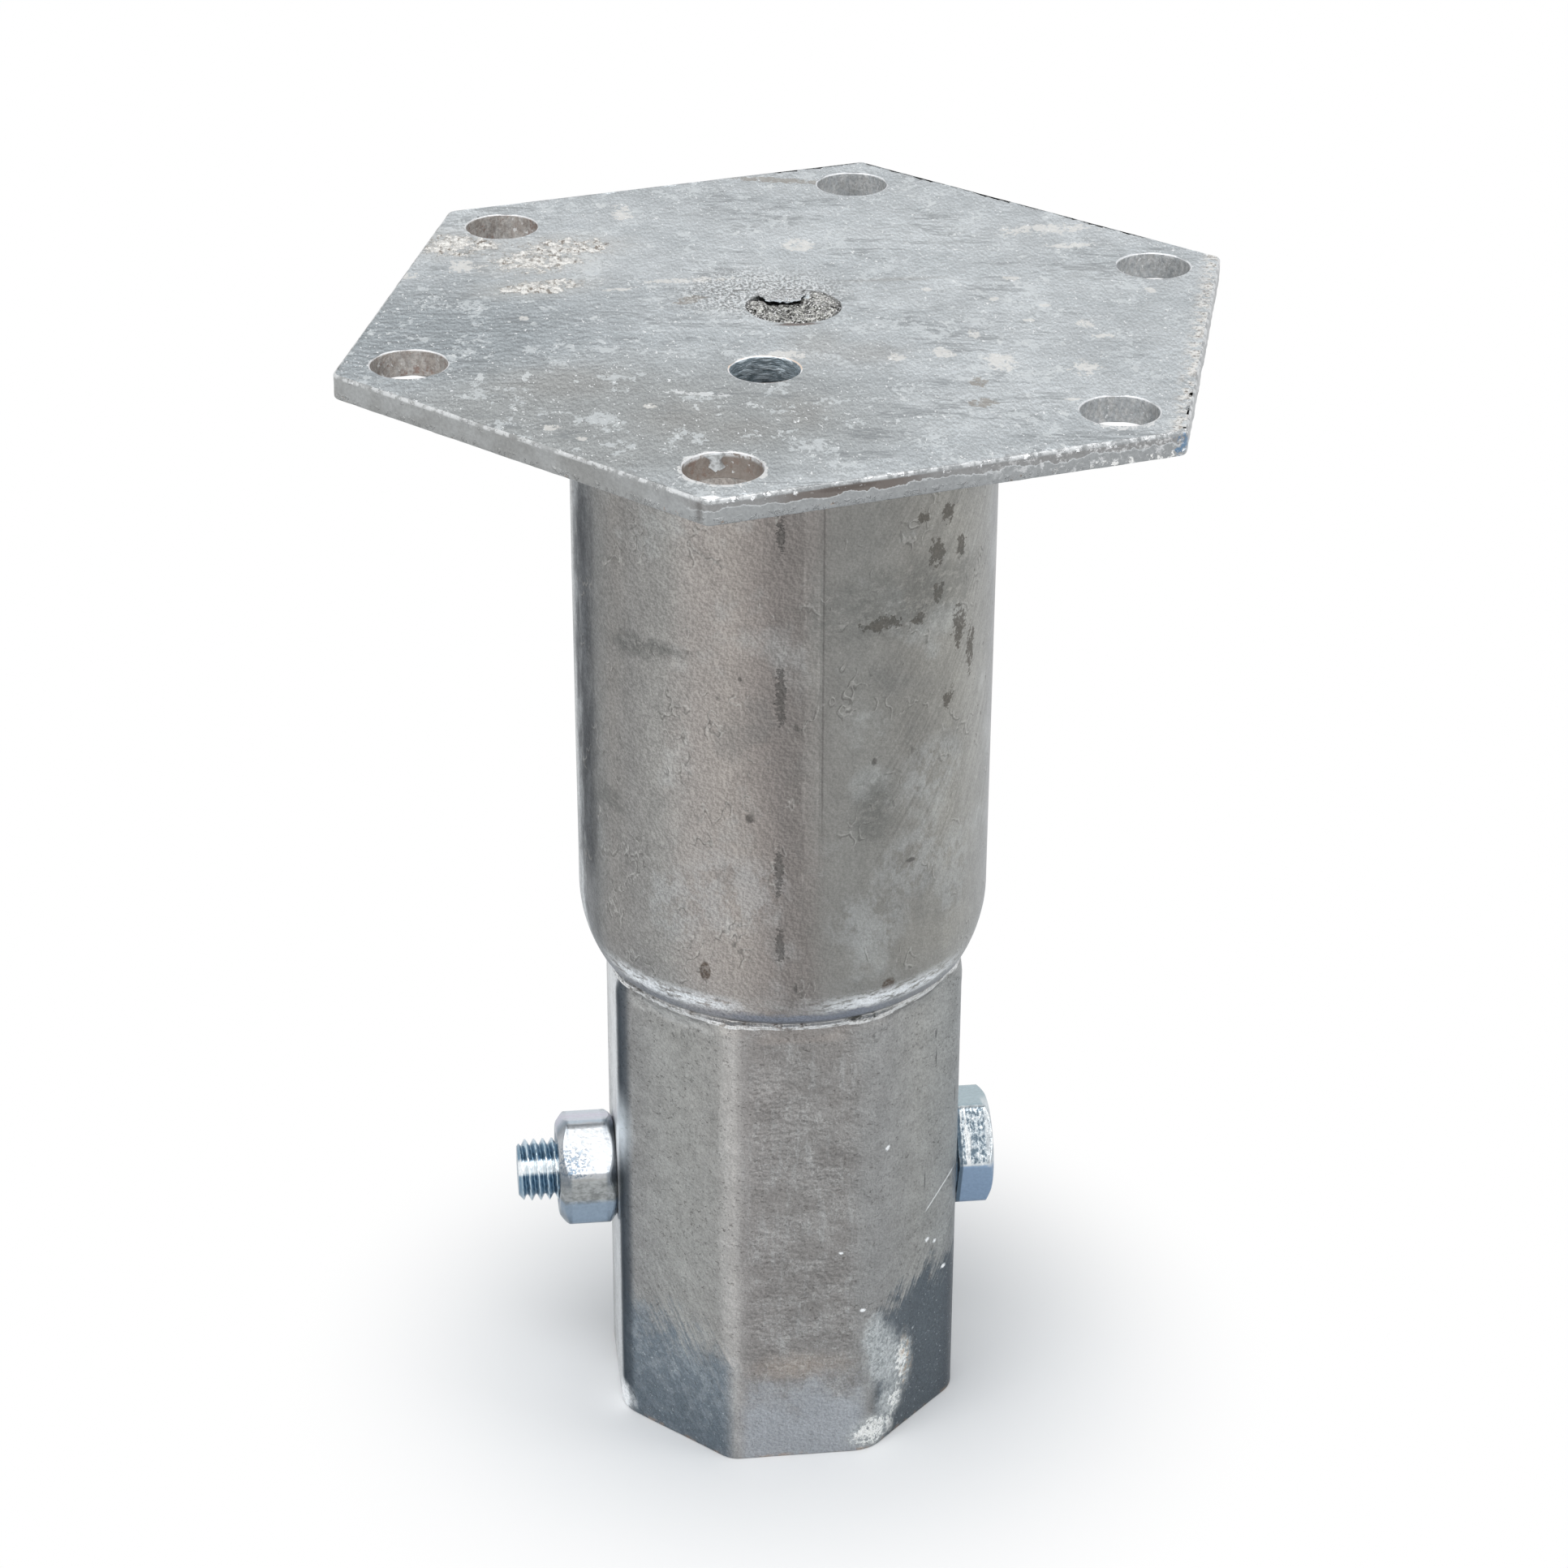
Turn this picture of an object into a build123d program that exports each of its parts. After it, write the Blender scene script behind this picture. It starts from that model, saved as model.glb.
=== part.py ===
from build123d import *
import math
import os

# Flanged head of a ground screw, lengths in millimetres, +Z up.
# The origin is on the tube's axis, at the open end of the octagonal socket.
# +X runs along the cross bolt, towards its head.

# Shaft tube
tube_diameter = 101.6
tube_wall = 4.0
plain_length = 142.2

# Socket pressed on the tube's lower end
socket_sides = 8
pressed_length = 129.9
press_depth = 7.3
socket_corner_radius = 9.0

# Shoulder, and the ring that the pressing tools leave at its foot
shoulder_radius = 32.4
shoulder_run = 2.3
shoulder_drop = 1.8
groove_depth = 0.6
lip_stand = 1.5
lip_fade = 4.6
inside_fade = 1.4

# Hexagonal flange plate
plate_corners = 220.2
plate_thickness = 6.0
plate_corner_radius = 2.5
plate_edge_break = 0.4
plate_shift_x = 1.95
plate_shift_y = -0.23
plate_bearing = 14.0
plate_holes = 6
corner_to_hole = 17.85
hole_diameter = 17.5

# Drain hole and vent hole in the plate
drain_diameter = 16.0
drain_distance = 35.4
drain_bearing = -107.0
vent_diameter = 22.0
vent_x = 2.6
vent_y = 4.4
slag_sink = 0.6
slag_dish = 1.4
slag_slope_width = 5.5
slag_hang = 1.5
crust_radius = 5.2
crust_lap = 1.9
crust_bearing = 98.0
crust_depth = 1.2

# Fillet weld between the plate and the tube
weld_leg = 5.0

# Cross bolt and its nut
bolt_diameter = 16.0
bolt_height = 63.9
bolt_hole_clearance = 1.0
bolt_flats = 27.0
bolt_head_height = 10.3
bolt_head_turn = 11.3
washer_face_height = 0.9
washer_face_inset = 0.8
bolt_end_chamfer = 1.8
crown_angle = 30.0
nut_height = 14.8
nut_turn = 21.1
nut_bore_clearance = 0.2
thread_beyond_nut = 10.25

# Worked out from the sizes above
tube_radius = tube_diameter / 2
bore_radius = tube_radius - tube_wall
socket_apothem = tube_radius - press_depth
socket_bore_apothem = socket_apothem - tube_wall
socket_turn = 180 / socket_sides
lip_radius = socket_apothem + lip_stand
groove_radius = lip_radius - groove_depth
groove_height = pressed_length + groove_depth
shoulder_foot_radius = groove_radius + shoulder_run
shoulder_foot_height = groove_height + shoulder_drop
shoulder_sweep = math.acos(1 - (tube_radius - shoulder_foot_radius) / shoulder_radius)
shoulder_top = shoulder_foot_height + shoulder_radius * math.sin(shoulder_sweep)
tube_top = shoulder_top + plain_length
plate_top = tube_top + plate_thickness
hole_circle = plate_corners - 2 * corner_to_hole
vent_radius = vent_diameter / 2
bolt_radius = bolt_diameter / 2
bolt_axis = Axis((0, 0, bolt_height), (1, 0, 0))
nut_face = -socket_apothem
nut_outer = nut_face - nut_height
bolt_end = nut_outer - thread_beyond_nut
head_outer = socket_apothem + bolt_head_height
crown_radius = bolt_flats / 2 / math.cos(math.radians(30))
crown_drop = (crown_radius - bolt_flats / 2) * math.tan(math.radians(crown_angle))


def shoulder_point(radius, sweep):
    """A point of the shoulder's arc, whose centre is level with the arc's top."""
    centre = tube_radius - shoulder_radius
    return (centre + radius * math.cos(sweep), shoulder_top - radius * math.sin(sweep))


# Shaft tube: a round tube whose lower end is pressed in to an octagon.
# The shoulder is a turned form, and the pressing leaves a groove and a lip under it.
bore_shoulder_radius = shoulder_radius - tube_wall
lip_slope = lip_stand / lip_fade
lip_root = lip_stand / 3
lip_foot = pressed_length - lip_fade - lip_root / lip_slope

with BuildPart() as shaft_tube:
    with BuildSketch(Plane.XY):
        RegularPolygon(socket_apothem, socket_sides, major_radius=False, rotation=socket_turn)
        fillet(vertices(), radius=socket_corner_radius)
    extrude(amount=pressed_length)
    with BuildSketch(Plane.XZ):
        with BuildLine():
            Polyline(
                (0, tube_top),
                (tube_radius, tube_top),
                (tube_radius, shoulder_top),
            )
            ThreePointArc(
                (tube_radius, shoulder_top),
                shoulder_point(shoulder_radius, shoulder_sweep / 2),
                shoulder_point(shoulder_radius, shoulder_sweep),
            )
            Polyline(
                shoulder_point(shoulder_radius, shoulder_sweep),
                (groove_radius, groove_height),
                (lip_radius, pressed_length),
                (socket_apothem - lip_root, lip_foot),
                (0, lip_foot),
                (0, tube_top),
            )
        make_face()
    revolve(axis=Axis.Z)
    # the bore, which narrows with the shoulder
    with BuildSketch(Plane.XZ):
        with BuildLine():
            Polyline(
                (0, tube_top),
                (bore_radius, tube_top),
                (bore_radius, shoulder_top),
            )
            ThreePointArc(
                (bore_radius, shoulder_top),
                shoulder_point(bore_shoulder_radius, shoulder_sweep / 2),
                shoulder_point(bore_shoulder_radius, shoulder_sweep),
            )
            Polyline(
                shoulder_point(bore_shoulder_radius, shoulder_sweep),
                (socket_bore_apothem, pressed_length - inside_fade),
                (0, pressed_length - inside_fade),
                (0, tube_top),
            )
        make_face()
    revolve(axis=Axis.Z, mode=Mode.SUBTRACT)
    # the socket's own octagonal bore
    with BuildSketch(Plane.XY):
        RegularPolygon(socket_bore_apothem, socket_sides, major_radius=False, rotation=socket_turn)
        fillet(vertices(), radius=socket_corner_radius - tube_wall)
    extrude(amount=pressed_length, mode=Mode.SUBTRACT)
    # the cross bolt's two holes
    with BuildSketch(Plane.YZ):
        with Locations((0, bolt_height)):
            Circle(bolt_radius + bolt_hole_clearance / 2)
    extrude(amount=tube_diameter, both=True, mode=Mode.SUBTRACT)
shaft_tube.part.label = "shaft_tube"


# Flange plate: a hexagon with a bolt hole at each corner.
# It sits a little off the tube's axis, as the welded part does.
plate_plane = Plane.XY.offset(tube_top)
drain_x = drain_distance * math.cos(math.radians(drain_bearing))
drain_y = drain_distance * math.sin(math.radians(drain_bearing))

with BuildPart() as flange_plate:
    with BuildSketch(plate_plane):
        with Locations((plate_shift_x, plate_shift_y)):
            RegularPolygon(plate_corners / 2, 6, rotation=plate_bearing)
        fillet(vertices(), radius=plate_corner_radius)
    extrude(amount=plate_thickness)
    rims = flange_plate.edges().group_by(Axis.Z)
    chamfer(rims[0] + rims[-1], length=plate_edge_break)
    with BuildSketch(plate_plane):
        with Locations((plate_shift_x, plate_shift_y)):
            with PolarLocations(hole_circle / 2, plate_holes, start_angle=plate_bearing):
                Circle(hole_diameter / 2)
            with Locations((drain_x, drain_y)):
                Circle(drain_diameter / 2)
        with Locations((vent_x, vent_y)):
            Circle(vent_radius)
    extrude(amount=plate_thickness, mode=Mode.SUBTRACT)
flange_plate.part.label = "flange_plate"


# Vent slag: zinc dross and cutting slag that closes the vent hole.
# At the hole's far side a thick crust of it comes up to the plate's face.
slag_rim = plate_top - slag_sink
slag_floor_radius = vent_radius - slag_slope_width
slag_plane = Plane(origin=(vent_x, vent_y, 0), x_dir=(1, 0, 0), z_dir=(0, -1, 0))
crust_distance = vent_radius + crust_lap - crust_radius
crust_x = vent_x + crust_distance * math.cos(math.radians(crust_bearing))
crust_y = vent_y + crust_distance * math.sin(math.radians(crust_bearing))

with BuildPart() as vent_slag:
    with BuildSketch(slag_plane):
        with BuildLine():
            Polyline(
                (0, tube_top - slag_hang),
                (0, slag_rim - slag_dish),
                (slag_floor_radius, slag_rim - slag_dish),
                (vent_radius, slag_rim),
                (vent_radius, tube_top),
                (slag_floor_radius, tube_top - slag_hang),
                close=True,
            )
        make_face()
    revolve(axis=Axis((vent_x, vent_y, 0), (0, 0, 1)))
    with BuildSketch(Plane.XY.offset(plate_top - crust_depth)):
        with Locations((crust_x, crust_y)):
            Circle(crust_radius)
        with Locations((vent_x, vent_y)):
            Circle(vent_radius, mode=Mode.INTERSECT)
    extrude(amount=crust_depth)
vent_slag.part.label = "vent_slag"


# Flange weld: one fillet run round the tube, under the plate.
with BuildPart() as flange_weld:
    with BuildSketch(Plane.XZ):
        with BuildLine():
            Polyline(
                (tube_radius, tube_top - weld_leg),
                (tube_radius, tube_top),
                (tube_radius + weld_leg, tube_top),
                close=True,
            )
        make_face()
    revolve(axis=Axis.Z)
flange_weld.part.label = "flange_weld"


# Cross bolt: a hexagon head with a washer face, its crown bevelled all round.
head_plane = Plane(
    origin=(socket_apothem + washer_face_height, 0, bolt_height),
    x_dir=(0, -1, 0),
    z_dir=(1, 0, 0),
)
shank_plane = Plane(origin=(bolt_end, 0, bolt_height), x_dir=(0, -1, 0), z_dir=(1, 0, 0))
face_plane = Plane(origin=(socket_apothem, 0, bolt_height), x_dir=(0, -1, 0), z_dir=(1, 0, 0))

with BuildPart() as cross_bolt:
    with BuildSketch(head_plane):
        RegularPolygon(bolt_flats / 2, 6, major_radius=False, rotation=-bolt_head_turn)
    extrude(amount=bolt_head_height - washer_face_height)
    with BuildSketch(Plane.XZ):
        with BuildLine():
            Polyline(
                (socket_apothem, bolt_height),
                (socket_apothem, bolt_height + crown_radius),
                (head_outer - crown_drop, bolt_height + crown_radius),
                (head_outer, bolt_height + bolt_flats / 2),
                (head_outer, bolt_height),
                close=True,
            )
        make_face()
    revolve(axis=bolt_axis, mode=Mode.INTERSECT)
    with BuildSketch(face_plane):
        Circle(bolt_flats / 2 - washer_face_inset)
    extrude(amount=washer_face_height)
    with BuildSketch(shank_plane):
        Circle(bolt_radius)
    extrude(amount=head_outer - bolt_end - bolt_head_height / 2)
    tip = cross_bolt.edges().filter_by(GeomType.CIRCLE).sort_by(Axis.X)[0]
    chamfer(tip, length=bolt_end_chamfer)
cross_bolt.part.label = "cross_bolt"


# Hex nut: bevelled on both faces, drawn up against the socket's far side.
nut_plane = Plane(origin=(nut_face, 0, bolt_height), x_dir=(0, -1, 0), z_dir=(-1, 0, 0))

with BuildPart() as hex_nut:
    with BuildSketch(nut_plane):
        RegularPolygon(bolt_flats / 2, 6, major_radius=False, rotation=nut_turn)
        Circle(bolt_radius + nut_bore_clearance / 2, mode=Mode.SUBTRACT)
    extrude(amount=nut_height)
    with BuildSketch(Plane.XZ):
        with BuildLine():
            Polyline(
                (nut_face, bolt_height),
                (nut_face, bolt_height + bolt_flats / 2),
                (nut_face - crown_drop, bolt_height + crown_radius),
                (nut_outer + crown_drop, bolt_height + crown_radius),
                (nut_outer, bolt_height + bolt_flats / 2),
                (nut_outer, bolt_height),
                close=True,
            )
        make_face()
    revolve(axis=bolt_axis, mode=Mode.INTERSECT)
hex_nut.part.label = "hex_nut"


os.makedirs("parts", exist_ok=True)
export_step(shaft_tube.part, "parts/shaft_tube.step")
export_step(flange_plate.part, "parts/flange_plate.step")
export_step(vent_slag.part, "parts/vent_slag.step")
export_step(flange_weld.part, "parts/flange_weld.step")
export_step(cross_bolt.part, "parts/cross_bolt.step")
export_step(hex_nut.part, "parts/hex_nut.step")

print("overall height", round(plate_top, 2))
print("socket across flats", round(2 * socket_apothem, 2), "bore", round(2 * socket_bore_apothem, 2))
print("shoulder from", round(groove_height, 2), "to", round(shoulder_top, 2))
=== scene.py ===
# %% [markdown]
# # The head of a ground screw, in hot-dip zinc
#
# The object is a steel head for a foundation screw. A hexagonal plate is welded on a round
# tube, and the tube's lower end is pressed to an octagon, which a cross bolt closes. All of
# it was dipped in molten zinc, apart from the bolt and nut, which are plated.
#
# Each step below says what one piece or one finish is on the real thing, and how it is made
# here. The engineering model comes first, because it gives every size and place.

# %% Load the frame
import math

import bmesh
import bpy
from mathutils import Matrix, Vector, geometry, noise


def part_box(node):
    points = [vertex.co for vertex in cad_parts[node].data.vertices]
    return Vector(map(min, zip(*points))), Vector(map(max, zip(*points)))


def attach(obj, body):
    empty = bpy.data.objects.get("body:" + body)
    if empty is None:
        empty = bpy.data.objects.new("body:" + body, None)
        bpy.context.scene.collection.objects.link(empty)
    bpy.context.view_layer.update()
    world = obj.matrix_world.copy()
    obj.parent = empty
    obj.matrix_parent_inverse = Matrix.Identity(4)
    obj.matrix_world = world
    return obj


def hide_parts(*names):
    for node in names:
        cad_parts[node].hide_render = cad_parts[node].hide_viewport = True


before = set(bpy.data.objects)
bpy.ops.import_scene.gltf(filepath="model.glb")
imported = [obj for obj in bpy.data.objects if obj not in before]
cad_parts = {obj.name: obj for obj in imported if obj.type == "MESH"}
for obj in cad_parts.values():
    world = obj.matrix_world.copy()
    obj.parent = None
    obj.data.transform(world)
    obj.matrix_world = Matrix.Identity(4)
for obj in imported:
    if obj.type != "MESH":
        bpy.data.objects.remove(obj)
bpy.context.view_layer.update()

print("nodes:", ", ".join(sorted(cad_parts)))

# %% [markdown]
# ## Sizes
#
# Blender works in metres, and a maker thinks in millimetres. So the pieces are shaped in
# millimetres here, and one factor turns them into metres when a mesh is made. The sizes that
# the engineering model already holds are read from its nodes, so nothing is measured twice.

# %% Read the sizes
MM = 0.001


def node_box(name):
    """The lowest and highest corner of a CAD node, in millimetres."""
    low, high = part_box(name)
    return low / MM, high / MM


plate_low, plate_high = node_box("flange_plate")
tube_high = node_box("shaft_tube")[1]
bolt_low, bolt_high = node_box("cross_bolt")
nut_low, nut_high = node_box("hex_nut")

PLATE_TOP = plate_high.z
PLATE_UNDER = plate_low.z
TUBE_RADIUS = tube_high.x
TUBE_WALL = 4.0
BOLT_HEIGHT = (bolt_low.z + bolt_high.z) / 2
HEX_FLATS = 27.0
print(f"plate from {PLATE_UNDER:.1f} to {PLATE_TOP:.1f} mm, tube radius {TUBE_RADIUS:.1f} mm")


def at(radius, turn, centre=(0, 0)):
    """The point at a distance and a direction, in radians, from a centre seen from above."""
    return centre[0] + radius * math.cos(turn), centre[1] + radius * math.sin(turn)


def place_object(name, data):
    """A new object in the scene, for a mesh, a lamp or a camera."""
    thing = bpy.data.objects.new(name, data)
    bpy.context.scene.collection.objects.link(thing)
    return thing


# %% [markdown]
# ## The camera
#
# The photograph was taken with a long lens from a little above the part. A long lens keeps
# upright edges almost parallel, so the lens matters as much as the place. The bolt lies
# 6.7 degrees off the picture's own left-to-right line, and every angle starts from that turn.

# %% Place the camera
VIEW_TURN = 6.7
CAMERA_BEARING = -90.026
CAMERA_HEADING = 89.955
CAMERA_AWAY = 844.96
CAMERA_OVER_PLATE = 322.41
CAMERA_PITCH = 27.825
CAMERA_ROLL = 0.234
LENS = 88.88


def aimed_camera():
    """A camera at the photograph's place, with its pitch and its slight roll."""
    heading = math.radians(CAMERA_HEADING - VIEW_TURN)
    pitch, roll = math.radians(CAMERA_PITCH), math.radians(CAMERA_ROLL)
    forward = Vector((*at(math.cos(pitch), heading), -math.sin(pitch)))
    level = Vector((math.sin(heading), -math.cos(heading), 0))
    upward = level.cross(forward)
    right = level * math.cos(roll) + upward * math.sin(roll)
    above = upward * math.cos(roll) - level * math.sin(roll)
    data = bpy.data.cameras.new("camera")
    data.lens = LENS
    data.sensor_width = 36
    data.clip_start = 0.01
    camera = place_object("camera", data)
    turn = Matrix((right, above, -forward)).transposed().to_4x4()
    ground = at(CAMERA_AWAY, math.radians(CAMERA_BEARING - VIEW_TURN))
    place = Vector((*ground, PLATE_TOP + CAMERA_OVER_PLATE))
    camera.matrix_world = Matrix.Translation(place * MM) @ turn
    return camera


bpy.context.scene.camera = aimed_camera()
bpy.context.scene.view_settings.view_transform = "Standard"
print("camera at", [round(v, 3) for v in bpy.context.scene.camera.location])

# %% [markdown]
# ## A helper for nodes
#
# A finish is a material made of nodes. Written out in full, each node takes three or four
# lines, so small classes wrap them here. Each method adds one kind of node and hands back
# its output as a Level, and Levels can be added and multiplied like numbers, so a finish
# reads like a recipe.

# %% Levels and nodes
def arithmetic(operation, swapped=False):
    """A method for Level that adds one maths node."""
    def method(self, other=0.0):
        pair = (other, self) if swapped else (self, other)
        return self.recipe.maths(operation, *pair)
    return method


class Level:
    """One output of a recipe's nodes, which sums and products can be written with."""

    def __init__(self, recipe, socket):
        self.recipe, self.socket = recipe, socket

    __add__ = __radd__ = arithmetic("ADD")
    __mul__ = __rmul__ = arithmetic("MULTIPLY")
    __sub__, __rsub__ = arithmetic("SUBTRACT"), arithmetic("SUBTRACT", swapped=True)
    __truediv__, __mod__ = arithmetic("DIVIDE"), arithmetic("MODULO")
    __abs__ = arithmetic("ABSOLUTE")


class Recipe:
    """A node tree, with short methods that add nodes and return their outputs."""

    def __init__(self, tree):
        self.tree = tree

    def feed(self, socket, value):
        """Links an output to a socket, or sets the socket to a plain value."""
        value = getattr(value, "socket", value)
        if isinstance(value, bpy.types.NodeSocket):
            self.tree.links.new(value, socket)
        elif socket.type == "RGBA":
            socket.default_value = (*value, 1)
        else:
            socket.default_value = value

    def node(self, kind, inputs, out=0, **settings):
        """Adds a node, feeds its inputs by name or number, and returns one of its outputs."""
        node = self.tree.nodes.new("ShaderNode" + kind)
        for name, value in settings.items():
            setattr(node, name, value)
        for name, value in inputs.items():
            self.feed(node.inputs[name], value)
        return Level(self, node.outputs[out])

    def maths(self, operation, first, second=0.0, clamp=False):
        return self.node("Math", {0: first, 1: second}, operation=operation, use_clamp=clamp)

    def either(self, *masks):
        """The largest of several masks at each point."""
        whole = masks[0]
        for mask in masks[1:]:
            whole = self.maths("MAXIMUM", whole, mask)
        return whole

    def rays(self):
        """The kinds of ray that a shader can tell apart, by name."""
        return self.node("LightPath", {}).socket.node.outputs


print("node helper ready")

# %% [markdown]
# ## A helper for masks and patterns
#
# A mask is 1 where something lies on the part and 0 elsewhere, and a pattern wanders between
# the two. Both start from `place`, the point on the part in millimetres, so a noise of size 5
# has lumps 5 mm across wherever it is used.

# %% Masks and patterns
# two common kinds of noise: soft clouds, and clouds broken up by finer and finer grain
SMOOTH = {"detail": 3, "rough": 0.55}
CRISP = {"detail": 5, "rough": 0.75}
# stains on the plate's face are all centred at one height, just under its top
STAIN_HEIGHT = 296.0


class Patterns(Recipe):
    """Masks and patterns that know where on the part they are."""

    def __init__(self, tree):
        super().__init__(tree)
        point = self.node("TexCoord", {}, out="Object")
        self.place = self.node("VectorMath", {0: point, "Scale": 1 / MM}, operation="SCALE")
        parts = self.node("SeparateXYZ", {0: self.place}).socket.node.outputs
        self.x, self.y, self.z = (Level(self, part) for part in parts)
        self.tears = {}

    def fade(self, value, start, end):
        """0 where value is at start, 1 where it is at end, with a soft run between."""
        return self.node("MapRange", {"Value": value, "From Min": start, "From Max": end},
                         interpolation_type="SMOOTHSTEP")

    def band(self, value, start, full, fading, end):
        """1 from full to fading, with a soft run to 0 on either side."""
        return self.fade(value, start, full) * self.fade(value, end, fading)

    def mapped(self, place, size, turn=0.0):
        """The point as seen from place, turned, and measured in steps of size."""
        settings = {"Location": place, "Rotation": (0, 0, math.radians(turn)), "Scale": size}
        return self.node("Mapping", {"Vector": self.place, **settings}, vector_type="TEXTURE")

    def noise(self, size, seed, detail=4, rough=0.7, stretch=(1, 1, 1), turn=0.0, moved=(0, 0, 0)):
        """Cloudy noise from 0 to 1, its lumps size mm across and stretched along each axis."""
        point = self.mapped([seed + m for m in moved], [size * s for s in stretch], turn)
        return self.node("TexNoise", {"Vector": point, "Scale": 1.0, "Detail": detail, "Roughness": rough})

    def bits(self, size, start, end, seed, **settings):
        """Noise faded into bits: 0 where it is at start, 1 where it is at end."""
        return self.fade(self.noise(size, seed, **settings), start, end)

    def emboss(self, size, away, seed, power=4.0, **settings):
        """Painted light and shade on small lumps, as light from one side would show them: noise less the same
        noise moved away.
        """
        slope = self.noise(size, seed, **settings) - self.noise(size, seed, moved=away, **settings)
        return self.maths("ADD", slope * power, 0.5, clamp=True)

    def streaks(self, across, lengthwise, size, length, seed):
        """Noise drawn out into strokes: size across them, length along them."""
        point = self.node("CombineXYZ", {0: across / size, 1: lengthwise / length, 2: seed})
        return self.node("TexNoise", {"Vector": point, "Scale": 1.0, "Detail": 3.0})

    def cracks(self, size, width, seed, **settings):
        """Thin wandering lines: where cloudy noise crosses its own middle value."""
        away = abs(self.noise(size, seed, **settings) - 0.5)
        return self.fade(away, width, width * 0.3)

    def tear(self, size):
        """Noise that tears edges. Patches of about one size share it, which saves much time."""
        shared = 2.0**round(math.log2(size))
        if shared not in self.tears:
            self.tears[shared] = self.noise(shared, 0, rough=0.65)
        return self.tears[shared]

    def patch(self, centre, size, soft=0.5, ragged=0.0, turn=0.0):
        """1 inside an ellipsoid about centre, 0 outside, with an edge that noise can tear."""
        reach = self.node("VectorMath", {0: self.mapped(centre, size, turn)}, "Value", operation="LENGTH")
        if ragged:
            reach = reach + self.tear(min(size) * 0.6) * ragged - ragged / 2
        return self.fade(reach, 1 + soft, 1 - soft)

    def stain(self, x, y, wide, deep, soft, ragged=0.0, turn=0.0, high=9):
        """A patch on the plate's face: half as wide and deep as the two sizes say, each way."""
        return self.patch((x, y, STAIN_HEIGHT), (wide, deep, high), soft, ragged, turn)

    def spot(self, angle, height, wide, high, soft=0.4, ragged=0.0):
        """A patch on the tube's wall: half as wide and high as the two sizes say, each way."""
        centre = (*at(TUBE_RADIUS, math.radians(angle)), height)
        return self.patch(centre, (12, wide, high), soft, ragged, angle)

    def spots(self, places, soft=0.35, ragged=1.0):
        """Several spots, as (angle, height, half width, half height)."""
        return self.either(*(self.spot(*place, soft, ragged) for place in places))

    def ripped(self, mask, noise, cover=0.42):
        """A soft mask broken into crisp scraps, close together inside it and rare at its edge."""
        level = noise + mask * 0.45
        return self.fade(level, cover + 0.42, cover + 0.49) * self.fade(mask, 0.0, 0.1)

    def along(self, bearing):
        """Distance from the axis in the direction of a bearing, in degrees."""
        east, north = at(1, math.radians(bearing))
        return self.x * east + self.y * north

    def turn_of(self, rise, run):
        """The angle in degrees, from -180 to 180, of a point that far up and that far along."""
        return self.maths("DEGREES", self.maths("ARCTAN2", rise, run))

    def near(self, turn, angle, spread, soft=0.4):
        """1 near an angle round the tube or the bolt, 0 beyond spread degrees."""
        return self.fade(abs(turn - angle), spread, spread * soft)

    def under_top(self, start, end):
        """0 where the point is start mm under the plate's top, 1 where it is end mm under."""
        return self.fade(self.z, PLATE_TOP - start, PLATE_TOP - end)


print("mask helper ready")

# %% [markdown]
# ## A helper for finishes
#
# A finish starts with one `colour`. Then `paint` lays another colour over it where a mask is
# 1, and `tone` lets a pattern lighten and darken what is there. At the end `relief` turns
# patterns into small heights, and `coat` hands everything to the shader.

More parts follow.
